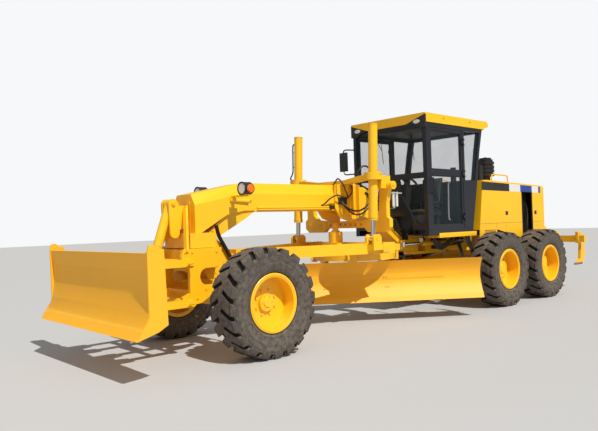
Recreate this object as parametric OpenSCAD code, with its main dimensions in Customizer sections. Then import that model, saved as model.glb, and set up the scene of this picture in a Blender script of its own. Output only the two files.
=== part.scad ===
// Motor grader, full size, in millimetres.
// Every place below is stated with the front axle at x = 0, ground at z = 0,
// nose toward +X and left toward +Y; place() moves it to the part's frame.

/* [Machine] */
// Front axle to the middle of the tandem
wheelbase = 6202; // [5800:10:6600]
// Distance between the two tandem axles
tandem_base = 1550; // [1500:10:1650]
// Height of the wheel axles
axle_z = 655; // [600:5:700]
// Middle of the tyre from the centre plane
track_half = 1054; // [1000:2:1100]

/* [Tyres] */
// Tyre radius out to the tips of the lugs
tyre_r = 655; // [600:5:700]
// Tyre section width
tyre_w = 444; // [400:4:480]
// Radius of the rim's seat
rim_r = 318; // [300:1:330]
// Radius of the rim's flange
flange_r = 354; // [340:1:370]
// Width over the flanges
rim_w = 380; // [340:2:400]

/* [Moldboard] */
// Length of the moldboard
board_len = 3660; // [3000:10:4300]
// Height of its lower edge as parked
board_low = 307; // [250:1:400]
// Height of its upper edge as parked
board_top = 945; // [900:1:950]
// Direction of its length, degrees from +X
board_dir = 143.4; // [120:0.1:160]
// Middle of the board left of the circle's middle
board_shift = 179; // [-400:1:300]
// Board ahead of the circle's middle
board_ahead = 330; // [300:1:360]

/* [Circle] */
// Middle of the circle behind the front axle
circle_x = -2750; // [-2900:10:-2600]
// Outer radius of the circle
circle_r = 655; // [600:5:700]

/* [Dozer blade] */
// Half width of the dozer blade
dozer_half = 1285; // [1200:5:1400]
// Reach of its cutting edge ahead of the front axle
dozer_reach = 1795; // [1700:5:1900]

/* [Rear] */
// Reach of the ripper's points behind the rear plate
ripper_reach = 1250; // [1150:10:1350]
// Half width of the cab and hood
body_half = 800; // [760:5:850]

/* [Hidden] */
$fn = 48;
run = 0.05;
slack = 0.3;
mid_x = -(wheelbase - tandem_base / 2);
rear_x = -(wheelbase + tandem_base / 2);
hitch_x = -4250;
king_y = 880;
king_arm = 200;
board_cos = cos(board_dir);
board_sin = sin(board_dir);
board_front = 42;
plate_x = -7810;
rear_reach = ripper_reach - plate_x;
shift_lug = board_shift + 1220;
rails = [760, 560];
left_reach = (board_shift + board_len / 2) * board_sin
    + (board_ahead + board_front) * -board_cos;
x_shift = (rear_reach - dozer_reach) / 2;
y_shift = (dozer_half - left_reach) / 2;

yellow = [0.93, 0.62, 0.05];
charcoal = [0.12, 0.13, 0.15];
black = [0.06, 0.06, 0.06];
steel = [0.45, 0.45, 0.45];
chrome = [0.8, 0.8, 0.82];
rubber = [0.15, 0.14, 0.13];
glass = [0.4, 0.5, 0.55];

module place() {
    translate([x_shift, y_shift, 0]) children();
}

module both() {
    children();
    mirror([0, 1, 0]) children();
}

// A plate in the side view: outline in x and z, from y0, t thick
module side(y0, t, pts) {
    translate([0, y0 + t, 0]) rotate([90, 0, 0]) linear_extrude(t) polygon(pts);
}

// A plate across the machine: outline in y and z, from x0, t thick
module across(x0, t, pts) {
    translate([x0, 0, 0]) rotate([90, 0, 90]) linear_extrude(t) polygon(pts);
}

// A plate lying flat: outline in x and y, from z0, t thick
module flat(z0, t, pts) {
    translate([0, 0, z0]) linear_extrude(t) polygon(pts);
}

module box(lo, hi) {
    translate(lo) cube(hi - lo);
}

module pin_y(x, z, y0, y1, r) {
    translate([x, y0, z]) rotate([-90, 0, 0]) cylinder(r = r, h = y1 - y0);
}

module pin_x(y, z, x0, x1, r) {
    translate([x0, y, z]) rotate([0, 90, 0]) cylinder(r = r, h = x1 - x0);
}

module pin_z(x, y, z0, z1, r) {
    translate([x, y, z0]) cylinder(r = r, h = z1 - z0);
}

module rod(a, b, r) {
    d = b - a;
    translate(a) rotate([0, acos(d[2] / norm(d)), atan2(d[1], d[0])])
        cylinder(r = r, h = norm(d));
}

// A bar of box section between two points in one side plane
module bar_y(a, b, y0, t, w) {
    d = b - a;
    translate([a[0], y0, a[1]]) rotate([0, -atan2(d[1], d[0]), 0])
        translate([0, 0, -w / 2]) cube([norm(d), t, w]);
}

// Outline of a link with round ends about two points
function stadium(p, q, r) = let (a = atan2(q[1] - p[1], q[0] - p[0]))
    concat([for (i = [0 : 8]) p + r * [cos(a + 90 + i * 22.5),
        sin(a + 90 + i * 22.5)]],
        [for (i = [0 : 8]) q + r * [cos(a - 90 + i * 22.5),
        sin(a - 90 + i * 22.5)]]);

// Places a piece that stands along the line from a to b
module along(a, b) {
    d = b - a;
    translate(a) rotate([0, acos(d[2] / norm(d)), atan2(d[1], d[0])]) children();
}

// Wheels

lugs = 20;
lug_deep = 34;

// Groove between two lugs: open at the shoulder, shallow at the middle
module lug_groove() {
    rotate([90, 0, 60]) translate([0, 0, -27]) linear_extrude(54) polygon([
        [30, tyre_r + 20], [30, tyre_r - lug_deep],
        [150, tyre_r - lug_deep - 4], [260, tyre_r - 90],
        [300, tyre_r + 20]]);
}

module tyre_at(x, s) {
    half = tyre_w / 2;
    color(rubber) place() translate([x, s * track_half, axle_z]) difference() {
        rotate([90, 0, 0]) rotate_extrude($fn = 64) polygon([
            [rim_r + slack, -177], [flange_r + 4, -177],
            [rim_r + 70, -half + 22], [470, -half + 2], [545, -half + 2],
            [610, -half + 14], [tyre_r - 8, -half + 40],
            [tyre_r, -half + 90], [tyre_r, half - 90],
            [tyre_r - 8, half - 40], [610, half - 14], [545, half - 2],
            [470, half - 2], [rim_r + 70, half - 22],
            [flange_r + 4, 177], [rim_r + slack, 177],
            [rim_r + slack, 150], [400, 172], [500, 192], [560, 170],
            [575, 140], [575, -140], [560, -170], [500, -192],
            [400, -172], [rim_r + slack, -150]]);
        for (i = [0 : lugs - 1]) for (e = [0, 1])
            rotate([0, (i + e / 2) * 360 / lugs, 0]) mirror([0, e, 0])
                lug_groove();
    }
}

// A rim about its own middle, with its disc, hub and the bore for the axle
module rim_body(disc, hub_r, hub_in, hub_out, bore) {
    difference() {
        union() {
            rotate([90, 0, 0]) rotate_extrude($fn = 96) polygon([
                [rim_r - 12, -rim_w / 2 + 6], [flange_r - 6, -rim_w / 2],
                [flange_r, -rim_w / 2 + 5], [flange_r, -178],
                [rim_r, -178], [rim_r, 178],
                [flange_r, 178], [flange_r, rim_w / 2 - 5],
                [flange_r - 6, rim_w / 2], [rim_r - 12, rim_w / 2 - 6]]);
            rotate([-90, 0, 0]) translate([0, 0, disc - 9])
                cylinder(r = rim_r - 6, h = 18, $fn = 96);
            rotate([-90, 0, 0]) translate([0, 0, hub_in])
                cylinder(r = hub_r, h = hub_out - hub_in);
        }
        rotate([-90, 0, 0]) translate([0, 0, hub_in - 1])
            cylinder(r = bore + run, h = hub_out - hub_in - 24);
    }
}

module front_rim(s) {
    color(yellow) place() translate([0, s * track_half, axle_z])
        rotate([0, 0, s > 0 ? 0 : 180])
            rim_body(0, 105, -34, 50, 60);
}

module rear_rim(x, s) {
    color(yellow) place() translate([x, s * track_half, axle_z])
        rotate([0, 0, s > 0 ? 0 : 180])
            rim_body(-30, 150, -120, 40, 80);
}

module rim_front_left() { front_rim(1); }
module rim_front_right() { front_rim(-1); }
module rim_mid_left() { rear_rim(mid_x, 1); }
module rim_mid_right() { rear_rim(mid_x, -1); }
module rim_rear_left() { rear_rim(rear_x, 1); }
module rim_rear_right() { rear_rim(rear_x, -1); }
module tyre_front_left() { tyre_at(0, 1); }
module tyre_front_right() { tyre_at(0, -1); }
module tyre_mid_left() { tyre_at(mid_x, 1); }
module tyre_mid_right() { tyre_at(mid_x, -1); }
module tyre_rear_left() { tyre_at(rear_x, 1); }
module tyre_rear_right() { tyre_at(rear_x, -1); }

// Front axle

fork_z = 130;

module front_axle() {
    color(yellow) place() both() pin_z(0, king_y, axle_z - 170, axle_z + 170, 30);
    color(yellow) place() difference() {
        union() {
            across(-90, 180, [[-600, 560], [600, 560], [740, 600],
                [740, 735], [420, 780], [200, 860], [-200, 860],
                [-420, 780], [-740, 735], [-740, 600]]);
            both() {
                box([-45, 700, axle_z - 175], [45, 800, axle_z + 175]);
                for (z = [axle_z - 175, axle_z + fork_z])
                    box([-70, 790, z], [70, king_y, z + 45]);
                for (z = [axle_z - 175, axle_z + fork_z])
                    pin_z(0, king_y, z, z + 45, 70);
            }
        }
        pin_x(0, 745, -91, 91, 50 + run);
        both() box([-45, 802, axle_z - fork_z], [45, 960, axle_z + fork_z]);
    }
}

module knuckle(s) {
    color(yellow) place() translate([0, s * king_y, axle_z]) difference() {
        union() {
        pin_z(0, 0, -fork_z + slack, fork_z - slack, 62);
        rotate([s > 0 ? -90 : 90, 0, 0]) cylinder(r = 60, h = 198);
        box([-king_arm, -20, -110], [-40, 20, -80]);
        pin_z(-king_arm, 0, -110, -80, 42);
        pin_z(-king_arm, 0, -80, -22, 17);
        }
        pin_z(0, 0, -fork_z, fork_z, 30 + run);
    }
}

module knuckle_left() { knuckle(1); }
module knuckle_right() { knuckle(-1); }

module tie_rod() {
    color(steel) place() difference() {
        union() {
            both() pin_z(-king_arm, king_y, axle_z - 79, axle_z - 28, 36);
            rod([-king_arm, -king_y + 30, axle_z - 53],
                [-king_arm, king_y - 30, axle_z - 53], 20);
        }
        both() pin_z(-king_arm, king_y, axle_z - 80, axle_z - 27, 17 + run);
    }
}

// Front frame

// Section of the nose: half width, half width of its top, and heights
function nose_section(w, top_w, shoulder, top) = [[-w, 1400], [w, 1400],
    [w, shoulder], [top_w, top], [-top_w, top], [-w, shoulder]];

lift_x = circle_x + 430;
lift_y = 820;
ball = [lift_x + 40, 1320];
trunnion = [lift_x, 2240];

module front_frame() {
    color(yellow) place() difference() {
        union() {
            // Box beam with its narrower top
            translate([-2500, 0, 0]) across(0, 1925, [[-180, 1760],
                [180, 1760], [180, 2000], [130, 2150], [-130, 2150],
                [-180, 2000]]);
            // Nose, widening from the beam to its octagonal front face
            intersection() {
                side(-260, 520, [[-581, 2160], [419, 2160], [419, 1500],
                    [330, 1498], [-100, 1722], [-400, 1775],
                    [-581, 1775]]);
                hull() {
                    across(418, 1, nose_section(250, 165, 1850, 1990));
                    across(-350, 1, nose_section(196, 135, 1995, 2140));
                    across(-582, 1, nose_section(180, 130, 2000, 2150));
                }
            }
            // Front of the beam, bent down behind the nose to the bolster
            side(-160, 320, [[-640, 1790], [-430, 1661], [90, 1400],
                [143, 1315], [420, 1315], [420, 1505], [160, 1505],
                [-140, 1740], [-400, 1790]]);
            both() pin_x(196, 1918, -520, -180, 17);
            both() pin_y(-190, 1922, 175, 222, 34);
            // Bolster and side plates down to the axle pin
            box([160, -300, 1315], [530, 300, 1500]);
            both() side(170, 50, [[100, 1420], [-60, 1300], [-160, 1120],
                [-190, 890], [190, 890], [300, 1080],
                [480, 1080], [480, 1500], [220, 1500]]);
            for (x = [-165, 95])
                across(x, 70, [[-120, 640], [120, 640], [220, 760],
                    [220, 900], [-220, 900], [-220, 760]]);
            pin_x(0, 745, -185, 185, 50);
            // Seat of the drawbar's ball
            box([330, -172, 1080], [400, 172, 1320]);
            // Neck falling to the hitch
            side(-150, 300, [[-2450, 2150], [-2850, 2125], [-3150, 1990],
                [-3700, 1545], [-4000, 1300], [-4100, 1250],
                [-4250, 1250], [-4250, 1020], [-4050, 1020],
                [-3800, 1120], [-3300, 1460], [-2900, 1640],
                [-2450, 1740]]);
            pin_z(hitch_x, 0, 1020, 1250, 120);
            // Lugs of the steering cylinders in the hitch
            both() box([-3820, 120, 1195], [-3700, 215, 1235]);
            both() box([-3820, 120, 1085], [-3700, 215, 1125]);
            both() pin_z(-3760, 200, 1195, 1235, 45);
            both() pin_z(-3760, 200, 1085, 1125, 45);
        }
        pin_z(hitch_x, 0, 1000, 1260, 60 + run);
        box([330, -172, 1000], [360, 172, 1080]);
        translate([360, 0, 1150]) sphere(r = 62 + slack, $fn = 32);
    }
}

module saddle() {
    color(yellow) place() {
        // Yoke across the beam that carries the lift cylinders
        difference() {
            across(lift_x - 80, 160, [[-lift_y, 2195], [-lift_y, 2275],
                [-600, 2260], [-300, 2215], [300, 2215], [600, 2260],
                [lift_y, 2275], [lift_y, 2195], [600, 2185],
                [300, 2151], [-300, 2151], [-600, 2185]]);
            both() pin_z(lift_x, lift_y, 2100, 2400, 134);
        }
        // Collars that hold the lift cylinders' trunnions
        both() difference() {
            union() {
                pin_z(lift_x, lift_y, 2185, 2295, 135);
                box([lift_x - 310, lift_y - 80, 2060],
                    [lift_x - 100, lift_y + 70, 2250]);
            }
            pin_z(lift_x, lift_y, 2000, 2400, 98);
            pin_y(lift_x, trunnion[1], lift_y - 140, lift_y + 140, 32 + run);
        }
        // Hooked arms behind the cylinders, joined by the locking bar
        both() {
            pin_y(lift_x - 270, 2105, lift_y - 105, lift_y + 165, 62);
            across(lift_x - 310, 80, [[lift_y - 60, 2160], [lift_y + 85, 2160],
                [lift_y + 90, 2040], [lift_y + 45, 1840], [lift_y + 45, 1640],
                [lift_y + 95, 1600], [lift_y + 95, 1480], [lift_y + 20, 1410],
                [480, 1410], [420, 1470], [420, 1600], [620, 1615],
                [lift_y - 110, 1700], [lift_y - 90, 1900],
                [lift_y - 80, 2060]]);
        }
        difference() {
            box([lift_x - 300, -440, 1475], [lift_x - 240, 440, 1590]);
            for (y = [-330 : 110 : 330])
                pin_x(y, 1530, lift_x - 310, lift_x - 230, 24);
        }
        // Plates at the beam's sides with their ribs
        both() side(180 + slack, 35, [[lift_x + 180, 2160],
            [lift_x - 330, 2160], [lift_x - 370, 1800], [lift_x - 300, 1560],
            [lift_x - 200, 1560], [lift_x + 70, 1640], [lift_x + 200, 1800]]);
        both() for (i = [0 : 2])
            box([lift_x - 288 + i * 130, 214, 1680],
                [lift_x - 272 + i * 130, 285, 2150]);
    }
}

lamp_x = -190;
lamp_y = 510;
lamp_z = 2048;

module headlamps() {
    color(black) place() both() {
        pin_x(lamp_y, lamp_z, lamp_x - 60, lamp_x + 60, 84);
        pin_y(lamp_x - 5, lamp_z - 4, lamp_y, lamp_y + 92, 54);
        box([lamp_x - 25, 222.3, lamp_z - 100], [lamp_x + 25, lamp_y + 20,
            lamp_z - 78]);
        box([lamp_x - 25, 222.3, lamp_z - 140], [lamp_x + 25, 234,
            lamp_z - 78]);
    }
}

// Points of a smooth path through the given ones, k steps between each two
function spot(p, i, t) = let (
    a = p[max(i - 1, 0)], b = p[i], c = p[i + 1],
    d = p[min(i + 2, len(p) - 1)]) 0.5 * (2 * b + (c - a) * t
    + (2 * a - 5 * b + 4 * c - d) * t * t
    + (3 * b - 3 * c + d - a) * t * t * t);
function smooth(p, k) = [for (i = [0 : len(p) - 2])
    for (j = [0 : k - 1]) spot(p, i, j / k), p[len(p) - 1]];
function turn(v, k, a) = v * cos(a) + cross(k, v) * sin(a)
    + k * (k * v) * (1 - cos(a));

// A hose of round section along a path, as a closed skin
module hose(p, r, k = 3, sides = 8, up = [0.13, 0.21, 0.97]) {
    q = smooth(p, k);
    n = len(q);
    rings = [for (i = [0 : n - 1]) let (
        d = q[min(i + 1, n - 1)] - q[max(i - 1, 0)],
        t = d / norm(d), e = cross(t, up), f = e / norm(e))
        for (j = [0 : sides - 1])
            q[i] + r * turn(f, t, 360 * j / sides)];
    polyhedron(points = concat(rings, [q[0], q[n - 1]]), faces = concat(
        [for (i = [0 : n - 2]) for (j = [0 : sides - 1]) let (
            a = i * sides + j, b = i * sides + (j + 1) % sides)
            [a, b + sides, b]],
        [for (i = [0 : n - 2]) for (j = [0 : sides - 1]) let (
            a = i * sides + j, b = i * sides + (j + 1) % sides)
            [a, a + sides, b + sides]],
        [for (j = [0 : sides - 1]) [n * sides, j, (j + 1) % sides]],
        [for (j = [0 : sides - 1]) [n * sides + 1,
            (n - 1) * sides + (j + 1) % sides, (n - 1) * sides + j]]));
}

// Hoses at the nose and pipes along the beam
module hoses() {
    color(black) place() {
        both() for (y = [232.3, 256.6, 280.9]) hose([[110, y, 1590],
            [70, y, 1450], [-15, y, 1310], [-110, y, 1150],
            [-150, y, 1000]], 12);
        // Pipes along the beam's lower edge
        both() for (z = [1785, 1812]) pin_x(191 + slack, z, -2060, -620, 11);
    }
}

// Dozer blade

dozer_pins = [[650, 1150], [650, 670]];
dozer_link = 600;

module dozer_mount() {
    color(yellow) place() {
        both() difference() {
            side(300.3, 50, [[100, 1310], [660, 1310], [690, 1210],
                [690, 1090], [580, 1060], [580, 770], [690, 730],
                [690, 610], [420, 640], [170, 780], [150, 1100]]);
            pin_y(330, 960, 300, 351, 105);
            box([100, 300, 855], [330, 351, 1065]);
        }
        box([480.3, -310, 1100], [560, 310, 1300]);
        box([430, -310, 660], [540, 310, 800]);
        for (p = dozer_pins) pin_y(p[0], p[1], -520, 520, 38);
        // Ears for the lift cylinder on the nose
        for (y = [-95, 65]) {
            side(y, 30, stadium([615, 1510], [dozer_top[0], dozer_top[2]], 66));
            side(y, 30, [[420.3, 1590], [600, 1530], [620, 1850],
                [420.3, 1850]]);
        }
        pin_y(dozer_top[0], dozer_top[2], -110, 110, 28);
        // Slanted posts from the ears down to the side plates
        both() difference() {
            hull() {
                box([455, 80, 1790], [485, 150, 1850]);
                box([600, 310, 1280], [630, 375, 1300]);
            }
            box([440, 0, 1700], [500, 66, 1900]);
        }
    }
}

module dozer_link_at(z, t) {
    difference() {
        union() {
            bar_y([650, z], [650 + dozer_link, z], 415, 70, 90);
            for (x = [650, 650 + dozer_link]) pin_y(x, z, 415, 485, 62);
        }
        for (x = [650, 650 + dozer_link]) pin_y(x, z, 400, 500, 38 + run);
    }
}

module dozer_upper() {
    color(yellow) place() {
        both() dozer_link_at(1150, 70);
        difference() {
            box([830, -420, 1110], [930, 420, 1190]);
            box([800, -56, 1100], [950, 56, 1200]);
        }
        both() side(56, 26, [[830, 1110], [930, 1110], [935, 1200],
            [880, 1235], [825, 1200]]);
    }
}

module dozer_lower() {
    color(yellow) place() {
        both() dozer_link_at(670, 70);
        box([880, -420, 640], [960, 420, 700]);
    }
}

module dozer_blade() {
    color(yellow) place() {
        side(-dozer_half + 20, 2 * dozer_half - 40, [
            [dozer_reach, 475], [dozer_reach - 95, 590],
            [1640, 740], [1612, 950], [1618, 1150], [1647, 1332],
            [1625, 1335], [1594, 1150], [1588, 950], [1616, 735],
            [1678, 578], [dozer_reach - 30, 475]]);
        both() side(dozer_half - 20, 20, [[1655, 1338], [1636, 1410],
            [1575, 1416], [1543, 1382], [1465, 1365], [1437, 599],
            [1548, 539], [1786, 473], [1643, 690]]);
        box([1470, -1265, 1110], [1600, 1265, 1210]);
        box([1470, -1265, 620], [1640, 1265, 720]);
        both() for (y = [375, 495]) side(y, 30, [[1200, 1100],
            [1200, 1200], [1290, 1230], [1480, 1240], [1480, 620],
            [1290, 600], [1200, 620], [1200, 720], [1330, 770],
            [1380, 910], [1330, 1050]]);
        both() for (z = [1150, 670]) pin_y(1250, z, 376, 524, 38);
    }
}

dozer_eye = [880, 0, 1160];
dozer_top = [630, 0, 1870];

module dozer_barrel() {
    color(charcoal) place() {
        difference() {
            union() {
                pin_y(630, 1870, -62, 62, 60);
                along(dozer_top, dozer_eye) cylinder(r = 58, h = 590);
            }
            pin_y(630, 1870, -70, 70, 28 + run);
            along(dozer_top, dozer_eye) translate([0, 0, 80])
                cylinder(r = 30 + run, h = 520);
        }
    }
}

module dozer_rod() {
    color(chrome) place() {
        along(dozer_top, dozer_eye) translate([0, 0, 320])
            cylinder(r = 30, h = 400);
        pin_y(880, 1160, -46, 46, 48);
    }
}

// Drawbar, circle and moldboard

module drawbar() {
    color(yellow) place() {
        translate([360, 0, 1150]) sphere(r = 62, $fn = 32);
        box([-340, -60, 1100], [295, 60, 1200]);
        pin_x(0, 1150, 290, 330, 34);
        // The two beams of the A
        both() flat(1095, 160, [[-300, 0], [-300, 110],
            [circle_x + 270, 880], [circle_x + 130, 950],
            [circle_x + 130, 790], [circle_x + 270, 740], [-560, 60],
            [-560, 0]]);
        box([circle_x + 190, -900, 1095], [circle_x + 350, 900, 1255]);
        box([circle_x - 550, -420, 1095], [circle_x - 430, 420, 1200]);
        box([circle_x + 420, -660, 1095], [circle_x + 570, 660, 1200]);
        both() box([circle_x - 550, 420, 1095], [circle_x + 190, 500, 1200]);
        // Forks that take the lift cylinders' ball ends
        both() for (y = [lift_y - 85, lift_y + 50])
            side(y, 35, [[ball[0] - 90, 1230], [ball[0] + 90, 1200],
                [ball[0] + 90, 1340], [ball[0] + 50, 1385],
                [ball[0] - 50, 1385], [ball[0] - 90, 1340]]);
        both() box([ball[0] - 130, lift_y - 85, 1150],
            [ball[0] + 90, lift_y + 85, 1234]);
        // Circle drive and the shoes round the ring
        pin_z(circle_x + 420, 0, 1255, 1420, 110);
        pin_z(circle_x + 465, 0, 985, 1256, 70);
        box([circle_x + 270, -160, 1200], [circle_x + 550, 160, 1256]);
        for (a = [40, 140, 220, 320]) translate([circle_x, 0, 0])
            rotate([0, 0, a]) {
                box([608, -70, 951], [circle_r + 50, 70, 975 - slack]);
                box([circle_r + 9, -70, 951], [circle_r + 50, 70, 1096]);
            }
    }
}

module circle() {
    color(yellow) place() {
        translate([circle_x, 0, 975]) difference() {
            cylinder(r = circle_r, h = 100, $fn = 96);
            translate([0, 0, -1]) cylinder(r = 540, h = 102, $fn = 96);
        }
        board_frame() difference() {
          union() {
            for (s = [-520, 460]) {
                box([s, -300, 520], [s + 60, board_ahead - 215, 976]);
                box([s, -300, 900], [s + 60, 240, 976]);
            }
            for (z = rails) for (s = [-520, 460]) difference() {
                box([s, 90, z - 45], [s + 60, board_ahead - 150, z + 45]);
                box([s - 1, board_ahead - 190.5, z - 22.5],
                    [s + 61, board_ahead, z + 22.5]);
            }
            // Side shift barrel
            rod([-730, 60, 620], [620, 60, 620], 55);
          }
          rod([-700, 60, 620], [621, 60, 620], 28 + run);
        }
    }
}

// Local frame of the board: x along its length to the left, y ahead
module board_frame() {
    translate([circle_x, 0, 0]) rotate([0, 0, board_dir])
        mirror([0, 1, 0]) children();
}

module moldboard() {
    color(yellow) place() board_frame()
        translate([board_shift - board_len / 2, board_ahead, 0]) {
            rotate([90, 0, 90]) linear_extrude(board_len) polygon([
                [board_front, board_low], [10, 380], [-40, 450],
                [-90, 560], [-112, 640], [-105, 740], [-60, 850],
                [5, board_top], [-18, board_top], [-84, 856],
                [-130, 744], [-137, 636], [-115, 550], [-62, 436],
                [-12, 366], [board_front - 22, board_low]]);
            for (z = rails)
                box([400, -190, z - 22], [board_len - 400, -105, z + 22]);
            box([board_len / 2 + 1220, -330, 560],
                [board_len / 2 + 1270, -110, 680]);
        }
}

module side_rod() {
    color(chrome) place() board_frame() {
        rod([0, 60, 620], [shift_lug, 60, 620], 28);
    }
}

module lift_line(s) {
    along([trunnion[0], s * lift_y, trunnion[1]],
        [ball[0], s * lift_y, ball[1]]) children();
}

module lift_barrels() {
    color(yellow) place() for (s = [-1, 1]) difference() {
        union() {
            lift_line(s) translate([0, 0, -780]) cylinder(r = 68, h = 1400);
            pin_y(trunnion[0], trunnion[1], s * lift_y - 126,
                s * lift_y + 126, 32);
        }
        lift_line(s) translate([0, 0, -740])
            cylinder(r = 36 + run, h = 1400);
    }
}

module lift_rods() {
    color(chrome) place() for (s = [-1, 1]) {
        lift_line(s) translate([0, 0, -560]) cylinder(r = 36, h = 1440);
        pin_y(ball[0], ball[1], s * lift_y - 48, s * lift_y + 48, 50);
    }
}

// Rear frame

module rear_frame() {
    color(yellow) place() {
        for (z = [965, 1255]) flat(z, 48, [[-4112, -30], [-4150, -95],
            [-4200, -128], [-4400, -170], [-5050, -170], [-5050, 170],
            [-4400, 170], [-4200, 128], [-4150, 95], [-4112, 30]]);
        pin_z(hitch_x, 0, 965, 1303, 60);
        box([-5050, -170, 965], [-4440, 170, 1303]);
        box([-5180, -640, 1000], [-5020, 640, 1260]);
        both() box([-7760, 300, 1000], [-5100, 440, 1240]);
        box([-6330, -440, 1000], [-6070, 440, 1240]);
        box([plate_x, -620, 560], [plate_x + 60, 620, 1500]);
        // Cab brackets
        both() box([-4900, 165, 1255], [-4760, 740, 1303]);
        both() box([-5150, 560, 1255], [-5050, 740, 1303]);
        // Lugs for the hitch's steering cylinders
        both() for (z = [1195, 1085]) {
            box([-5030, 378, z], [-4950, 462, z + 40]);
            pin_z(-4950, 420, z, z + 40, 42);
        }
        both() pin_z(-4950, 420, 1090, 1230, 22);
        // Ripper lugs on the rear plate
        both() for (y = [300, 400]) side(y, 30, [[-7805, 580],
            [-7805, 1140], [-7880, 1080], [-7930, 1040], [-7930, 980],
            [-7850, 900], [-7850, 780], [-7930, 710], [-7930, 610],
            [-7880, 580]]);
        both() for (p = [rip_low, rip_high]) pin_y(p[0], p[1], 300, 430, 32);
        both() for (y = [rip_y - 27 - slack - 25, rip_y + 27 + slack])
            side(y, 25, [[-7805, 1490], [-7805, 1300], [-7950, 1380],
                [-7990, 1420], [-7950, 1470]]);
        both() pin_y(rip_base[0], rip_base[1], rip_y - 40, rip_y + 40, 24);
    }
}

module tandems() {
    color(yellow) place() {
        pin_y(-wheelbase, 760, -640, 640, 150);
        box([-wheelbase - 170, -430, 850], [-wheelbase + 170, 430, 999.7]);
        both() {
            side(620, 170, [[mid_x + 200, 560], [mid_x + 240, 655],
                [mid_x + 200, 770], [-wheelbase, 880], [rear_x - 200, 770],
                [rear_x - 240, 655], [rear_x - 200, 560],
                [-wheelbase, 450]]);
            for (x = [mid_x, rear_x]) {
                pin_y(x, axle_z, 780, 900, 130);
                pin_y(x, axle_z, 890, track_half + 14, 80);
            }
        }
    }
}

hood_side = [[-5235, 1353], [-5376, 2251], [-5500, 2262], [-7600, 2190],
    [-7700, 2150], [-7700, 1094], [-7058, 1094], [-5800, 1353]];

module hood() {
    // Skirts below the front of the hood with their louvres
    color(yellow) place() both() difference() {
        side(body_half - 22, 12, [[-5240, 1370], [-5228, 1225], [-5810, 1225],
            [-5840, 1370]]);
        for (i = [0 : 3]) box([-5790, 770, 1250 + i * 26],
            [-5400, 800, 1262 + i * 26]);
    }
    // Grab hoops on top
    color(yellow) place() both() hose([[-5860, 690, 2230], [-5865, 690, 2345],
        [-5925, 690, 2378], [-6170, 690, 2378], [-6390, 690, 2370],
        [-6445, 690, 2335], [-6450, 690, 2215]], 13);
    color(yellow) place() difference() {
        side(-body_half + 10, 2 * body_half - 20, hood_side);
        side(-body_half + 22, 2 * body_half - 44, [[-5250, 1000],
            [-5390, 2238], [-5500, 2250], [-7590, 2178], [-7760, 2120],
            [-7760, 1000]]);
        both() box([-7200, 700, 1240], [-6790, 900, 2050]);
        box([-7720, -640, 1240], [-7640, 640, 2060]);
        pin_z(-6820, 0, 2000, 2400, 90 + slack);
        both() pin_z(-6100, 300, 2000, 2400, 55 + slack);
    }
}

module engine() {
    color(charcoal) place() {
        box([-7100, -330, 1240.3], [-5560, 330, 2050]);
    }
}

module rear_grille() {
    color(charcoal) place() difference() {
        box([-7695, -777.7, 1240.3], [-7640, 777.7, 2140]);
        for (i = [0 : 11]) for (y = [-620, 20])
            box([-7700, y, 1290 + i * 62], [-7630, y + 600, 1326 + i * 62]);
    }
}

module intake_stack() {
    color(black) place() {
        pin_z(-6820, 0, 2180, 2420, 90);
        for (i = [0 : 3]) pin_z(-6820, 0, 2420 + i * 80, 2475 + i * 80, 172);
        pin_z(-6820, 0, 2420, 2760, 150);
        pin_z(-6820, 0, 2740, 2795, 120);
        both() pin_z(-6100, 300, 2180, 2600, 55);
    }
}

// Cab

hinge_x = -4745;
hinge_y = body_half + 13;
door_hinges = [1600, 2350, 2900];
cab_side = [[-3690, 1403], [-3690, 3174], [-5398, 3174], [-5290, 2760],
    [-5190, 2250], [-5007, 1403]];
cab_room = [[-3740, 1300], [-3740, 3200], [-5348, 3200], [-5240, 2760],
    [-5140, 2250], [-4957, 1403], [-4957, 1300]];

module cab_frame() {
    color(charcoal) place() {
        difference() {
            side(-body_half, 2 * body_half, cab_side);
            side(-body_half + 50, 2 * body_half - 100, cab_room);
            // Windscreen, lower front panes and the way in for the neck
            box([-3800, -730, 2340], [-3600, 730, 3110]);
            both() across(-3800, 200, [[210, 2260], [730, 2260],
                [730, 1500], [555, 1500], [263, 1984]]);
            box([-3800, -470, 1300], [-3600, 470, 1640]);
            // Doorways, rear side windows and rear window
            both() box([-4740, 700, 1300], [-3780, 900, 3100]);
            both() side(700, 200, [[-4800, 2240], [-4800, 3100],
                [-5300, 3100], [-5215, 2740], [-5115, 2240]]);
            box([-5500, -700, 2260], [-5000, 700, 3100]);
        }
        both() box([-5007, 720, 1304], [-3690, body_half, 1404]);
        // Fixed halves of the door hinges, each with its pin
        both() for (z = door_hinges) {
            pin_z(hinge_x, hinge_y, z - 60, z + 60, 6);
            for (e = [z - 60, z + 30]) {
                pin_z(hinge_x, hinge_y, e, e + 30, 12);
                box([hinge_x - 45, body_half - 4, e],
                    [hinge_x, hinge_y + 6, e + 30]);
            }
        }
    }
}

module cab_floor() {
    color(charcoal) place() {
        difference() {
            box([-4957 + slack, -720 + slack, 1304],
                [-3740 - slack, 720 - slack, 1330]);
            box([-4140, -470, 1200], [-3700, 470, 1400]);
        }
        difference() {
            box([-4155, -470, 1304], [-3741, 470, 1655]);
            box([-4140, -455, 1200], [-3600, 455, 1640]);
        }
    }
}

module cab_roof() {
    color(charcoal) place() {
        side(-816, 1632, [[-3690, 3174.3], [-3690, 3325], [-5540, 3325],
            [-5586, 3289], [-5586, 3230], [-5400, 3174.3]]);
        // Fascia, cut away at the corners for the lamps
        across(-3692, 34, [[-816, 3325], [-816, 3300], [-430, 3175],
            [430, 3175], [816, 3300], [816, 3325]]);
    }
}

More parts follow.
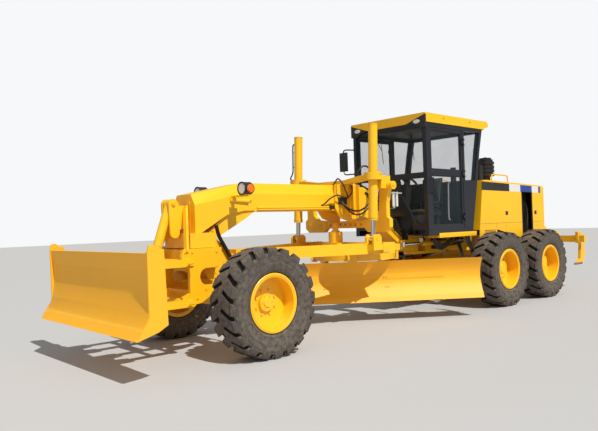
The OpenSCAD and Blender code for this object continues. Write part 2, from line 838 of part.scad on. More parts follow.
module cab_glass() {
    color(glass) place() {
        box([-3721, -729.7, 2340.3], [-3715, 729.7, 3109.7]);
        both() across(-3721, 6, [[210.5, 2259.7], [729.7, 2259.7],
            [729.7, 1500.3], [555.3, 1500.3], [263.4, 1984]]);
        both() side(772, 6, [[-4800.3, 2240.3], [-4800.3, 3099.7],
            [-5299.6, 3099.7], [-5214.6, 2740], [-5114.8, 2240.3]]);
        side(-699.7, 1399.4, [[-5168, 2261], [-5262, 2740], [-5347, 3099],
            [-5353, 3099], [-5268, 2740], [-5174, 2261]]);
    }
}

// Door of the left side, with its halves of the hinges and its grip
module door() {
    color(charcoal) difference() {
        union() {
            box([-4735, 753, 1409], [-3785, 795, 3095]);
            for (z = door_hinges) {
                pin_z(hinge_x, hinge_y, z - 29, z + 29, 12);
                box([hinge_x, body_half + 1, z - 29],
                    [hinge_x + 50, hinge_y + 6, z + 29]);
                box([hinge_x + 10, 790, z - 29],
                    [hinge_x + 50, body_half + 2, z + 29]);
            }
            for (z = [2000, 2250]) pin_y(-3808, z, 790, 835, 9);
            pin_z(-3808, 835, 1985, 2265, 10);
        }
        for (z = door_hinges)
            pin_z(hinge_x, hinge_y, z - 40, z + 40, 6 + run);
        box([-4690, 740, 2400], [-3830, 830, 3050]);
        box([-4690, 740, 1470], [-3830, 830, 2300]);
    }
}

module door_pane(s) {
    color(glass) place() {
        box([-4689.7, s * 774 - 3, 2400.3], [-3830.3, s * 774 + 3, 3049.7]);
        box([-4689.7, s * 774 - 3, 1470.3], [-3830.3, s * 774 + 3, 2299.7]);
    }
}

module door_left() { place() door(); }
module door_right() { place() mirror([0, 1, 0]) door(); }
module door_left_glass() { door_pane(1); }
module door_right_glass() { door_pane(-1); }

module seat() {
    color(black) place() {
        pin_z(-4700, 0, 1330, 1640, 90);
        box([-4900, -230, 1640], [-4440, 230, 1760]);
        side(-230, 460, [[-4820, 1761], [-4910, 1761], [-5020, 2380],
            [-4950, 2390]]);
        both() box([-4850, 240, 1850], [-4500, 300, 1900]);
        both() box([-4850, 225, 1660], [-4800, 245, 1900]);
        both() box([-4850, 225, 1850], [-4800, 300, 1900]);
    }
}

module console() {
    color(charcoal) place() {
        side(-110, 220, [[-3900, 1655 + slack], [-4060, 1655 + slack], [-4180, 2150],
            [-4060, 2200]]);
        translate([-4170, 0, 2220]) rotate([0, -35, 0]) difference() {
            cylinder(r = 200, h = 28);
            translate([0, 0, -1]) cylinder(r = 172, h = 30);
        }
        translate([-4170, 0, 2220]) rotate([0, -35, 0])
            box([-180, -20, 0], [180, 20, 20]);
        rod([-4110, 0, 2150], [-4160, 0, 2225], 30);
    }
}

// The right mirror on its bent tube
module mirrors() {
    color(black) place() mirror([0, 1, 0]) {
        for (z = [2880, 2440]) box([-3750, 800.3, z - 25],
            [-3700, 812, z + 25]);
        hose([[-3725, 809, 2880], [-3690, 870, 2885], [-3640, 960, 2890],
            [-3622, 990, 2850], [-3620, 995, 2660], [-3622, 990, 2480],
            [-3640, 960, 2440], [-3690, 870, 2440], [-3725, 809, 2440]], 12);
        box([-3634, 905, 2500], [-3606, 1075, 2840]);
    }
}

module work_lamps() {
    color(black) place() {
        both() {
            across(-3690 + slack, 34, [[434, 3175.6], [816, 3299.3],
                [816, 3090], [700, 3090], [560, 3150]]);
            pin_x(665, 3190, -3660, -3646, 38);
        }
        both() box([-5650, 520, 3200], [-5586.3, 680, 3280]);
    }
}

module steps() {
    color(black) place() both() {
        box([-4850, 560, 1180], [-4520, 800, 1200]);
        box([-5060, 560, 860], [-4780, 815, 880]);
        side(560, 20, [[-5060, 860], [-5000, 860], [-4780, 1200],
            [-4780, 1254.7], [-4860, 1254.7]]);
        side(780, 19.7, [[-5060, 860], [-5000, 860], [-4780, 1200],
            [-4780, 1303.7], [-4860, 1303.7]]);
    }
}

// Ripper

rip_low = [-7880, 660];
rip_high = [-7880, 1020];
rip_link = 620;
rip_raise = 25;
rip_dx = rip_link * cos(rip_raise);
rip_dz = rip_link * sin(rip_raise);
rip_eye = [-8350, 900];
rip_base = [-7950, 1420];
rip_y = 236;
bar_x = 210 - rear_reach;

module rip_bar(p) {
    q = [p[0] - rip_dx, p[1] + rip_dz];
    difference() {
        side(330 + slack, 70 - 2 * slack, stadium(p, q, 50));
        for (e = [p, q]) pin_y(e[0], e[1], 300, 420, 32 + run);
    }
}

module ripper_upper() {
    color(yellow) place() both() rip_bar(rip_high);
}

module ripper_lower() {
    color(yellow) place() {
        both() rip_bar(rip_low);
        both() side(268, 27, [[-8385, 880], [-8370, 930], [-8320, 940],
            [-8120, 850], [-8120, 745], [-8200, 770]]);
        both() side(294, 42, [[-8200, 790], [-8200, 850], [-8130, 820],
            [-8130, 755]]);
    }
}

module ripper() {
    color(yellow) place() {
        both() for (p = [rip_low, rip_high])
            pin_y(p[0] - rip_dx, p[1] + rip_dz, 300, 430, 32);
        both() for (y = [300, 400]) side(y, 30, [
            [rip_low[0] - rip_dx + 50, 880], [-8400, 1330],
            [-8500, 1330], [-8560, 1140], [bar_x, 1140],
            [bar_x, 980], [-8540, 980], [-8480, 860]]);
        box([bar_x, -1150, 980], [bar_x + 120, 1150, 1120]);
        for (y = [-1000, -500, 0, 500, 1000]) side(y - 30, 60, [
            [bar_x + 150, 1200], [bar_x - 50, 1200], [bar_x - 140, 1000],
            [-rear_reach, 700], [bar_x - 50, 505], [bar_x + 250, 505],
            [bar_x + 50, 620], [bar_x, 900]]);
    }
}

function line3(p, y) = [p[0], y, p[1]];

module rip_line(s) {
    along(line3(rip_base, s * rip_y), line3(rip_eye, s * rip_y)) children();
}

module ripper_barrels() {
    color(charcoal) place() for (s = [-1, 1]) difference() {
        union() {
            rip_line(s) translate([0, 0, 47]) cylinder(r = 45, h = 513);
            pin_y(rip_base[0], rip_base[1], s * rip_y - 27, s * rip_y + 27, 50);
        }
        pin_y(rip_base[0], rip_base[1], s * rip_y - 28, s * rip_y + 28, 24 + run);
        rip_line(s) translate([0, 0, 70]) cylinder(r = 24 + run, h = 600);
    }
}

module ripper_rods() {
    color(chrome) place() for (s = [-1, 1]) {
        rip_line(s) translate([0, 0, 90]) cylinder(r = 24, h = 540);
        pin_y(rip_eye[0], rip_eye[1], s * rip_y - 27, s * rip_y + 27, 38);
    }
}

// Cylinders at the hitch

module swing_line(s) {
    along([-4950, s * 420, 1160], [-3760, s * 200, 1160]) children();
}

module swing_barrel(s) {
    color(charcoal) place() difference() {
        union() {
            swing_line(s) translate([0, 0, 47]) cylinder(r = 42, h = 728);
            pin_z(-4950, s * 420, 1125 + slack, 1195 - slack, 50);
        }
        pin_z(-4950, s * 420, 1120, 1200, 22 + run);
        swing_line(s) translate([0, 0, 80]) cylinder(r = 24 + run, h = 900);
    }
}

module swing_rod(s) {
    color(chrome) place() {
        swing_line(s) translate([0, 0, 560]) cylinder(r = 24, h = 620);
        pin_z(-3760, s * 200, 1126, 1194, 42);
    }
}

module swing_barrel_left() { swing_barrel(1); }
module swing_barrel_right() { swing_barrel(-1); }
module swing_rod_left() { swing_rod(1); }
module swing_rod_right() { swing_rod(-1); }

rear_frame();
tandems();
hood();
engine();
rear_grille();
intake_stack();
cab_floor();
cab_frame();
cab_roof();
cab_glass();
seat();
console();
mirrors();
work_lamps();
steps();
door_left();
door_left_glass();
door_right();
door_right_glass();
front_frame();
saddle();
headlamps();
hoses();
front_axle();
dozer_mount();
knuckle_left();
knuckle_right();
tie_rod();
rim_front_left();
tyre_front_left();
rim_front_right();
tyre_front_right();
rim_mid_left();
tyre_mid_left();
rim_mid_right();
tyre_mid_right();
rim_rear_left();
tyre_rear_left();
rim_rear_right();
tyre_rear_right();
drawbar();
circle();
moldboard();
side_rod();
lift_barrels();
lift_rods();
dozer_blade();
dozer_upper();
dozer_lower();
dozer_barrel();
dozer_rod();
ripper();
ripper_upper();
ripper_lower();
ripper_barrels();
ripper_rods();
swing_barrel_left();
swing_rod_left();
swing_barrel_right();
swing_rod_right();
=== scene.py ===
from math import cos, pi, radians, sin

import bmesh
import bpy
from mathutils import Matrix, Vector


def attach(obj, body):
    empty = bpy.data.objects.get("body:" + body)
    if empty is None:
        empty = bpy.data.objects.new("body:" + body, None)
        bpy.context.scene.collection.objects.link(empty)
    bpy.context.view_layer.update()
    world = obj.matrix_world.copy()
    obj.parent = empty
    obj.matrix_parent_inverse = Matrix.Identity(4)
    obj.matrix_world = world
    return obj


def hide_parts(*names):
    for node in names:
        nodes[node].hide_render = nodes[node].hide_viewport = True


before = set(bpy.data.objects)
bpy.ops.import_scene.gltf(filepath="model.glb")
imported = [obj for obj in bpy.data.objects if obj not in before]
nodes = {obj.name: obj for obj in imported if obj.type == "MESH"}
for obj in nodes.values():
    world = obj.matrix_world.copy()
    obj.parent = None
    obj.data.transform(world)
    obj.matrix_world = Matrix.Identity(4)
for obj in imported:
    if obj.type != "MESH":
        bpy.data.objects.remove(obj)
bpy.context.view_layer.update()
scene = bpy.context.scene
print("loaded")

# Places below are in millimetres, with the front axle at x = 0; s is 1 on the left side and -1 on the right.
shiftX = 3632.5
shiftY = -105.732
tyreTrack = 1054
axleHigh = 655
circleX = -2750
boardTurn = radians(143.4)
wheelPlaces = {
    "front_left": (0, 1), "front_right": (0, -1),
    "mid_left": (-5427, 1), "mid_right": (-5427, -1),
    "rear_left": (-6977, 1), "rear_right": (-6977, -1),
}


def at(x, y, z):
    return Vector(((x + shiftX) / 1000, (y + shiftY) / 1000, z / 1000))


# Camera at the photo's angle
photoView = {"yaw": 0.8314, "pitch": 0.0113, "roll": -0.0321, "spot": (4650.9, 6814.4, 1591.2),
             "lens": 37.19, "sensor": 36, "far": 200}
yaw, pitch, roll = photoView["yaw"], photoView["pitch"], photoView["roll"]
look = Vector((-cos(yaw) * cos(pitch), -sin(yaw) * cos(pitch), sin(pitch)))
side = look.cross(Vector((0, 0, 1))).normalized()
rise = side.cross(look)
right = side * cos(roll) + rise * sin(roll)
upward = rise * cos(roll) - side * sin(roll)
camData = bpy.data.cameras.new("camera")
camData.sensor_width = photoView["sensor"]
camData.lens = photoView["lens"]
camData.clip_end = photoView["far"]
camObj = bpy.data.objects.new("camera", camData)
scene.collection.objects.link(camObj)
turned = Matrix((right, upward, -look)).transposed().to_4x4()
camObj.matrix_world = Matrix.Translation(at(*photoView["spot"])) @ turned
scene.camera = camObj


def setInputs(node, values):
    for label, value in values.items():
        node.inputs[label].default_value = value


# World and lamps: a plain light, and a paler background for what the camera sees or sees through glass
studio = {"light": {"Color": (0.96, 0.94, 0.94, 1), "Strength": 0.34},
          "seen": {"Color": (0.93, 0.94, 0.95, 1), "Strength": 1.0}}
scene.view_settings.view_transform = "Standard"
world = bpy.data.worlds.new("studio")
scene.world = world
world.use_nodes = True
worldTree = world.node_tree
worldTree.nodes.clear()
worldOut = worldTree.nodes.new("ShaderNodeOutputWorld")
pick = worldTree.nodes.new("ShaderNodeMixShader")
path = worldTree.nodes.new("ShaderNodeLightPath")
either = worldTree.nodes.new("ShaderNodeMath")
either.operation = "MAXIMUM"
worldTree.links.new(path.outputs["Is Camera Ray"], either.inputs[0])
worldTree.links.new(path.outputs["Is Transmission Ray"], either.inputs[1])
worldTree.links.new(either.outputs[0], pick.inputs[0])
for slot, part in ((1, "light"), (2, "seen")):
    back = worldTree.nodes.new("ShaderNodeBackground")
    setInputs(back, studio[part])
    worldTree.links.new(back.outputs[0], pick.inputs[slot])
worldTree.links.new(pick.outputs[0], worldOut.inputs[0])


def lamp(name, kind, energy, size, spot, aim, color):
    data = bpy.data.lights.new(name, kind)
    data.energy = energy
    data.color = color
    if kind == "AREA":
        data.size = size
    else:
        data.angle = size
    obj = bpy.data.objects.new(name, data)
    scene.collection.objects.link(obj)
    obj.location = spot
    obj.rotation_euler = (Vector(aim) - Vector(spot)).to_track_quat("-Z", "Y").to_euler()


lamp("keySun", "SUN", 3.9, 0.014, (0.9, 10, 12.5), (0, 0, 0.5), (1, 0.96, 0.9))
lamp("fillPanel", "AREA", 120, 9, (12, 4, 6), (1, 0, 1), (0.95, 0.97, 1))


# Shared shader groups
def makeGroup(name, inputs, outputs):
    tree = bpy.data.node_groups.new(name, "ShaderNodeTree")
    for label, kind, value in inputs:
        tree.interface.new_socket(label, in_out="INPUT", socket_type=kind).default_value = value
    for label, kind in outputs:
        tree.interface.new_socket(label, in_out="OUTPUT", socket_type=kind)
    return tree, tree.nodes.new("NodeGroupInput"), tree.nodes.new("NodeGroupOutput")


def noiseNode(tree, scale, detail, rough, coords):
    node = tree.nodes.new("ShaderNodeTexNoise")
    setInputs(node, {"Scale": scale, "Detail": detail, "Roughness": rough})
    tree.links.new(coords, node.inputs["Vector"])
    return node


def rangeNode(tree, source, low, high, outLow=0.0, outHigh=1.0):
    node = tree.nodes.new("ShaderNodeMapRange")
    setInputs(node, {"From Min": low, "From Max": high, "To Min": outLow, "To Max": outHigh})
    tree.links.new(source, node.inputs["Value"])
    return node.outputs[0]


def mathNode(tree, kind, one, two):
    node = tree.nodes.new("ShaderNodeMath")
    node.operation = kind
    for slot, value in ((0, one), (1, two)):
        if isinstance(value, (int, float)):
            node.inputs[slot].default_value = value
        else:
            tree.links.new(value, node.inputs[slot])
    return node.outputs[0]


# Dust: more on faces that look up and low down, broken up by noise
dustTree, dustIn, dustOut = makeGroup("dustMask", [
    ("Amount", "NodeSocketFloat", 0.5), ("Scale", "NodeSocketFloat", 3.0),
    ("Base Height", "NodeSocketFloat", 1.6)], [("Mask", "NodeSocketFloat")])
dustCoord = dustTree.nodes.new("ShaderNodeTexCoord")
splitPlace = dustTree.nodes.new("ShaderNodeSeparateXYZ")
splitNormal = dustTree.nodes.new("ShaderNodeSeparateXYZ")
dustTree.links.new(dustCoord.outputs["Object"], splitPlace.inputs[0])
dustTree.links.new(dustCoord.outputs["Normal"], splitNormal.inputs[0])
dustNoise = noiseNode(dustTree, 3, 6, 0.62, dustCoord.outputs["Object"])
dustTree.links.new(dustIn.outputs["Scale"], dustNoise.inputs["Scale"])
broken = rangeNode(dustTree, dustNoise.outputs["Fac"], 0.36, 0.72)
facing = rangeNode(dustTree, splitNormal.outputs["Z"], 0.2, 1.0, 0.0, 0.55)
lowNode = dustTree.nodes.new("ShaderNodeMapRange")
setInputs(lowNode, {"To Min": 0.9, "To Max": 0.12})
dustTree.links.new(splitPlace.outputs["Z"], lowNode.inputs["Value"])
dustTree.links.new(dustIn.outputs["Base Height"], lowNode.inputs["From Max"])
gathered = mathNode(dustTree, "ADD", facing, lowNode.outputs[0])
gathered = mathNode(dustTree, "MULTIPLY", gathered, broken)
gathered = mathNode(dustTree, "MULTIPLY", gathered, dustIn.outputs["Amount"])
dustTree.links.new(mathNode(dustTree, "MINIMUM", gathered, 0.85), dustOut.inputs["Mask"])

# Chips: small sharp patches where paint is lost
chipTree, chipIn, chipOut = makeGroup("chipMask", [
    ("Scale", "NodeSocketFloat", 22.0), ("Cover", "NodeSocketFloat", 0.3)],
    [("Mask", "NodeSocketFloat")])
chipCoord = chipTree.nodes.new("ShaderNodeTexCoord")
chipFine = noiseNode(chipTree, 22, 5, 0.7, chipCoord.outputs["Object"])
chipTree.links.new(chipIn.outputs["Scale"], chipFine.inputs["Scale"])
chipWide = noiseNode(chipTree, 2.2, 3, 0.5, chipCoord.outputs["Object"])
mixed = mathNode(chipTree, "ADD", mathNode(chipTree, "MULTIPLY", chipFine.outputs["Fac"], 0.6),
                 mathNode(chipTree, "MULTIPLY", chipWide.outputs["Fac"], 0.4))
lifted = mathNode(chipTree, "ADD", mixed, mathNode(chipTree, "MULTIPLY", chipIn.outputs["Cover"], 0.2))
chipTree.links.new(rangeNode(chipTree, lifted, 0.66, 0.68), chipOut.inputs["Mask"])

# Mottle: slow change in tone over a surface
toneTree, toneIn, toneOut = makeGroup("toneShift", [
    ("Color", "NodeSocketColor", (0.8, 0.8, 0.8, 1)), ("Scale", "NodeSocketFloat", 2.0),
    ("Depth", "NodeSocketFloat", 0.12)], [("Color", "NodeSocketColor")])
toneCoord = toneTree.nodes.new("ShaderNodeTexCoord")
toneNoise = noiseNode(toneTree, 2, 5, 0.6, toneCoord.outputs["Object"])
toneTree.links.new(toneIn.outputs["Scale"], toneNoise.inputs["Scale"])
swing = mathNode(toneTree, "MULTIPLY", mathNode(toneTree, "SUBTRACT", toneNoise.outputs["Fac"], 0.5),
                 toneIn.outputs["Depth"])
hsv = toneTree.nodes.new("ShaderNodeHueSaturation")
toneTree.links.new(mathNode(toneTree, "ADD", mathNode(toneTree, "MULTIPLY", swing, 2), 1), hsv.inputs["Value"])
toneTree.links.new(toneIn.outputs["Color"], hsv.inputs["Color"])
toneTree.links.new(hsv.outputs[0], toneOut.inputs["Color"])
print("groups made")


def placeGroup(tree, group, values):
    node = tree.nodes.new("ShaderNodeGroup")
    node.node_tree = group
    setInputs(node, values)
    return node


def mixColor(tree, mask, one, two):
    node = tree.nodes.new("ShaderNodeMix")
    node.data_type = "RGBA"
    tree.links.new(mask, node.inputs[0])
    for slot, value in ((6, one), (7, two)):
        if isinstance(value, tuple):
            node.inputs[slot].default_value = value
        else:
            tree.links.new(value, node.inputs[slot])
    return node.outputs[2]


dustColor = (0.46, 0.40, 0.32, 1)
finishes = {}


def finish(name, color, rough, metal=0.0, dust=0.5, dustScale=3.0, depth=0.12, tone=2.0,
           chips=None, chipColor=(0.2, 0.16, 0.12, 1), coat=0.0, bump=0.0, bumpScale=40.0,
           dusty=dustColor, sheen=0.0, low=1.6, split=None):
    mat = bpy.data.materials.new(name)
    mat.use_nodes = True
    tree = mat.node_tree
    shader = tree.nodes["Principled BSDF"]
    setInputs(shader, {"Metallic": metal, "Coat Weight": coat})
    if coat:
        setInputs(shader, {"Coat Roughness": 0.12})
    if sheen:
        setInputs(shader, {"Sheen Weight": sheen})
    toned = placeGroup(tree, toneTree, {"Color": (*color, 1), "Scale": tone, "Depth": depth})
    shade = toned.outputs[0]
    if split:
        # One end of the piece in a second paint: axis, place in metres, colour
        place = tree.nodes.new("ShaderNodeTexCoord")
        parts = tree.nodes.new("ShaderNodeSeparateXYZ")
        tree.links.new(place.outputs["Object"], parts.inputs[0])
        shade = mixColor(tree, mathNode(tree, "LESS_THAN", parts.outputs[split[0]], split[1]), shade, split[2])
    if chips is not None:
        chip = placeGroup(tree, chipTree, {"Cover": chips})
        shade = mixColor(tree, chip.outputs[0], shade, chipColor)
    mask = placeGroup(tree, dustTree, {"Amount": dust, "Scale": dustScale, "Base Height": low})
    shade = mixColor(tree, mask.outputs[0], shade, dusty)
    tree.links.new(shade, shader.inputs["Base Color"])
    tree.links.new(rangeNode(tree, mask.outputs[0], 0, 0.8, rough, min(rough + 0.4, 0.95)),
                   shader.inputs["Roughness"])
    if bump:
        coord = tree.nodes.new("ShaderNodeTexCoord")
        grain = noiseNode(tree, bumpScale, 4, 0.6, coord.outputs["Object"])
        lift = tree.nodes.new("ShaderNodeBump")
        setInputs(lift, {"Strength": bump, "Distance": 0.01})
        tree.links.new(grain.outputs["Fac"], lift.inputs["Height"])
        tree.links.new(lift.outputs[0], shader.inputs["Normal"])
    finishes[name] = mat
    return mat


paintYellow = (0.95, 0.53, 0.010)
finish("yellow", paintYellow, 0.36, dust=0.04, depth=0.05, coat=0.05, bump=0.02, bumpScale=7)
finish("yellowWorn", (0.92, 0.50, 0.010), 0.38, dust=0.14, depth=0.08, chips=-0.05, coat=0.06,
       bump=0.03, bumpScale=12)
finish("yellowBoard", (0.93, 0.45, 0.010), 0.55, dust=0.05, depth=0.06, bump=0.02, bumpScale=5)
finish("charcoal", (0.011, 0.013, 0.021), 0.33, dust=0.05, depth=0.15, coat=0.1)
finish("black", (0.012, 0.012, 0.013), 0.42, dust=0.3, depth=0.2)
finish("plastic", (0.016, 0.016, 0.017), 0.55, dust=0.25, bump=0.1, bumpScale=120)
finish("tyreSide", (0.056, 0.046, 0.038), 0.85, dust=0.6, dustScale=19, tone=16,
       dusty=(0.17, 0.14, 0.115, 1), bump=0.3, bumpScale=60, low=3.6)
finish("hoseRubber", (0.012, 0.012, 0.012), 0.5, dust=0.25)
finish("hoseOrPipe", (0.012, 0.012, 0.012), 0.45, dust=0.1, split=("X", 3.33, (*paintYellow, 1)))
finish("lampShell", (0.014, 0.014, 0.015), 0.4, dust=0.1, split=("Z", 1.972, (*paintYellow, 1)))
finish("steel", (0.34, 0.33, 0.31), 0.38, metal=0.9, dust=0.4, depth=0.3, tone=7)
finish("cutting", (0.20, 0.17, 0.14), 0.55, metal=0.6, depth=0.5, tone=9, bump=0.15, bumpScale=30)
finish("chrome", (0.72, 0.72, 0.72), 0.09, metal=1.0, dust=0.05, depth=0.04)
finish("castIron", (0.06, 0.058, 0.055), 0.6, metal=0.3, depth=0.3, bump=0.2, bumpScale=30)
finish("white", (0.72, 0.72, 0.70), 0.35, dust=0.15, depth=0.05)
finish("blue", (0.012, 0.055, 0.30), 0.35, dust=0.15, depth=0.05)
finish("seatCloth", (0.022, 0.023, 0.026), 0.9, dust=0.12, depth=0.25, tone=14, sheen=0.3,
       bump=0.2, bumpScale=260)
finish("lampWhite", (0.78, 0.80, 0.82), 0.12, dust=0.1, tone=30, coat=0.6)
finish("lampOrange", (0.85, 0.16, 0.01), 0.15, dust=0.08, tone=30, coat=0.6)
finish("lampRed", (0.45, 0.01, 0.008), 0.15, dust=0.1, tone=30, coat=0.6)
finish("steelPale", (0.62, 0.63, 0.63), 0.35, metal=0.6, dust=0.1, depth=0.1)
finish("paleGreen", (0.42, 0.50, 0.45), 0.45, dust=0.2, depth=0.15)
# Dark brown for the painted shade behind the louvre slots
finish("louvreShade", (0.14, 0.06, 0.015), 0.7, depth=0.5, tone=9)
finish("mirrorFace", (0.75, 0.78, 0.8), 0.04, metal=1.0, dust=0.03, depth=0.03)

glass = {"base": (0.05, 0.075, 0.085, 1), "bend": 1.45, "rough": (0.03, 0.3), "alpha": (0.13, 0.3)}
glassMat = bpy.data.materials.new("glassTint")
glassMat.use_nodes = True
glassTree = glassMat.node_tree
glassShader = glassTree.nodes["Principled BSDF"]
setInputs(glassShader, {"IOR": glass["bend"], "Base Color": glass["base"]})
glassDust = placeGroup(glassTree, dustTree, {"Amount": 0.16, "Scale": 2.2, "Base Height": 4.0})
for label, ends in (("Roughness", glass["rough"]), ("Alpha", glass["alpha"])):
    glassTree.links.new(rangeNode(glassTree, glassDust.outputs[0], 0, 0.3, *ends), glassShader.inputs[label])
finishes["glassTint"] = glassMat

# Tyres: the grooves of the tread get a near-black painted shade, told by their distance from the axle in metres
tread = {"grooveFloor": 0.640, "lugTop": 0.649, "half": 0.184, "dark": (0.012, 0.010, 0.009, 1)}
treadTree, treadIn, treadOut = makeGroup("grooveShadeMask", [
    ("Axle X", "NodeSocketFloat", 0.0), ("Side Y", "NodeSocketFloat", 0.0)], [("Mask", "NodeSocketFloat")])
treadCoord = treadTree.nodes.new("ShaderNodeTexCoord")
treadPlace = treadTree.nodes.new("ShaderNodeSeparateXYZ")
treadTree.links.new(treadCoord.outputs["Object"], treadPlace.inputs[0])
ahead = mathNode(treadTree, "SUBTRACT", treadPlace.outputs["X"], treadIn.outputs["Axle X"])
above = mathNode(treadTree, "SUBTRACT", treadPlace.outputs["Z"], axleHigh / 1000)
squares = mathNode(treadTree, "ADD", mathNode(treadTree, "MULTIPLY", ahead, ahead),
                   mathNode(treadTree, "MULTIPLY", above, above))
reach = mathNode(treadTree, "SQRT", squares, 0)
aside = mathNode(treadTree, "SUBTRACT", treadPlace.outputs["Y"], treadIn.outputs["Side Y"])
inner = mathNode(treadTree, "LESS_THAN", mathNode(treadTree, "ABSOLUTE", aside, 0), tread["half"])
deep = rangeNode(treadTree, reach, tread["grooveFloor"], tread["lugTop"], 1.0, 0.0)
treadTree.links.new(mathNode(treadTree, "MULTIPLY", deep, inner), treadOut.inputs["Mask"])
for place, (x, s) in wheelPlaces.items():
    tyreMat = finish("tyreRubber_" + place, (0.062, 0.052, 0.043), 0.85, dust=0.9, dustScale=19, tone=16,
                     dusty=(0.20, 0.165, 0.135, 1), bump=0.3, bumpScale=60, low=3.6)
    tyreTree = tyreMat.node_tree
    spot = at(x, s * tyreTrack, 0)
    # Painted shade: the grooves are mixed towards near black over the rubber and its dust
    grooveShade = placeGroup(tyreTree, treadTree, {"Axle X": spot.x, "Side Y": spot.y})
    baseSocket = tyreTree.nodes["Principled BSDF"].inputs["Base Color"]
    plainShade = baseSocket.links[0].from_socket
    tyreTree.links.new(mixColor(tyreTree, grooveShade.outputs[0], plainShade, tread["dark"]), baseSocket)

# What each CAD node wears; a node that isn't named here is yellow
wears = {
    "yellowWorn": "tandems front_axle knuckle_left knuckle_right circle ripper",
    "yellowBoard": "moldboard dozer_blade",
    "charcoal": "cab_floor cab_frame door_left door_right",
    "black": "rear_grille intake_stack steps",
    "plastic": "console mirrors work_lamps",
    "glassTint": "cab_glass door_left_glass door_right_glass",
    "chrome": "side_rod lift_rods dozer_rod ripper_rods swing_rod_left swing_rod_right",
    "castIron": "engine", "seatCloth": "seat", "lampShell": "headlamps", "hoseOrPipe": "hoses", "steel": "tie_rod",
}
nodeFinish = {node: kind for kind, row in wears.items() for node in row.split()}
nodeFinish.update({"tyre_" + place: "tyreRubber_" + place for place in wheelPlaces})
for name, obj in nodes.items():
    obj.data.materials.clear()
    obj.data.materials.append(finishes[nodeFinish.get(name, "yellow")])
print("finishes on")


# Small builders
def finishMesh(name, mesh, body, kind, smooth=None):
    data = bpy.data.meshes.new(name)
    mesh.normal_update()
    mesh.to_mesh(data)
    mesh.free()
    obj = bpy.data.objects.new(name, data)
    scene.collection.objects.link(obj)
    data.materials.append(finishes[kind])
    if smooth:
        for face in data.polygons:
            face.use_smooth = True
        data.set_sharp_from_angle(angle=radians(smooth))
    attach(obj, body)
    return obj


def addBox(mesh, low, high, bevel=0.0):
    low, high = Vector(low), Vector(high)
    made = bmesh.ops.create_cube(mesh, size=1)
    size = [max(abs(high[i] - low[i]), 0.1) / 1000 for i in range(3)]
    bmesh.ops.scale(mesh, vec=size, verts=made["verts"])
    bmesh.ops.translate(mesh, vec=at(*((low + high) / 2)), verts=made["verts"])
    if bevel:
        edges = list(dict.fromkeys(e for v in made["verts"] for e in v.link_edges))
        made = bmesh.ops.bevel(mesh, geom=edges, offset=bevel / 1000, offset_type="OFFSET",
                               affect="EDGES", segments=2, profile=0.5, material=-1)
    return made["verts"]


def addRod(mesh, start, end, radius, sides=16, radiusEnd=None):
    start, end = at(*start), at(*end)
    axis = end - start
    spin = axis.to_track_quat("Z", "Y").to_matrix().to_4x4()
    made = bmesh.ops.create_cone(mesh, cap_ends=True, segments=sides, radius1=radius / 1000,
                                 radius2=(radius if radiusEnd is None else radiusEnd) / 1000,
                                 depth=axis.length,
                                 matrix=Matrix.Translation((start + end) / 2) @ spin)
    return made["verts"]


# A bent pipe: a disc is pulled along a smooth path through the points
def addTube(mesh, points, radius, sides=10, steps=6):
    path = []
    places = [at(*p) for p in points]
    for i in range(len(places) - 1):
        a, b = places[max(i - 1, 0)], places[i]
        c, d = places[i + 1], places[min(i + 2, len(places) - 1)]
        for j in range(steps):
            t = j / steps
            path.append(0.5 * (2 * b + (c - a) * t + (2 * a - 5 * b + 4 * c - d) * t * t
                               + (3 * b - 3 * c + d - a) * t ** 3))
    path.append(places[-1])
    guide = Vector((0.13, 0.21, 0.97))  # any direction off the path, so that the disc doesn't twist
    last = None
    for i, spot in enumerate(path):
        ahead = (path[min(i + 1, len(path) - 1)] - path[max(i - 1, 0)]).normalized()
        across = ahead.cross(guide).normalized()
        guide = across.cross(ahead)
        placed = Matrix.Translation(spot) @ Matrix((guide, across, ahead)).transposed().to_4x4()
        if last is None:
            disc = bmesh.ops.create_circle(mesh, cap_ends=True, segments=sides, radius=radius / 1000, matrix=placed)
            face = disc["verts"][0].link_faces[0]
        else:
            made = bmesh.ops.extrude_face_region(mesh, geom=[face])
            if i > 1:  # only the first disc stays, as the cap at the start
                bmesh.ops.delete(mesh, geom=[face], context="FACES_ONLY")
            face = next(item for item in made["geom"] if isinstance(item, bmesh.types.BMFace))
            bmesh.ops.transform(mesh, matrix=placed @ last.inverted(), verts=list(face.verts))
        last = placed


def addBolt(mesh, spot, axis, radius, high, sides=6):
    spot = Vector(spot)
    addRod(mesh, spot, spot + Vector(axis) * high, radius, sides)
    addRod(mesh, spot, spot + Vector(axis) * high * 0.25, radius * 1.45, 14)  # its washer


# A closed outline pulled along a line; plates drawn in the side view and sweeps along the moldboard use it
def addPrism(mesh, outline, shift):
    face = mesh.faces.new([mesh.verts.new(p) for p in outline])
    face.normal_update()
    if face.normal.dot(shift) < 0:
        face.normal_flip()
    made = bmesh.ops.extrude_face_region(mesh, geom=[face])
    moved = [item for item in made["geom"] if isinstance(item, bmesh.types.BMVert)]
    bmesh.ops.translate(mesh, vec=shift, verts=moved)
    return moved + list(face.verts)


def addPlate(mesh, points, y0, y1):
    addPrism(mesh, [at(x, y0, z) for x, z in points], Vector((0, (y1 - y0) / 1000, 0)))


# A place on the moldboard: along it, ahead of it and up
def onBoard(along, ahead, high):
    return (circleX + along * cos(boardTurn) + ahead * sin(boardTurn),
            along * sin(boardTurn) - ahead * cos(boardTurn), high)


def addSweep(mesh, points, low, high):
    addPrism(mesh, [at(*onBoard(low, v, z)) for v, z in points],
             at(*onBoard(high, 0, 0)) - at(*onBoard(low, 0, 0)))


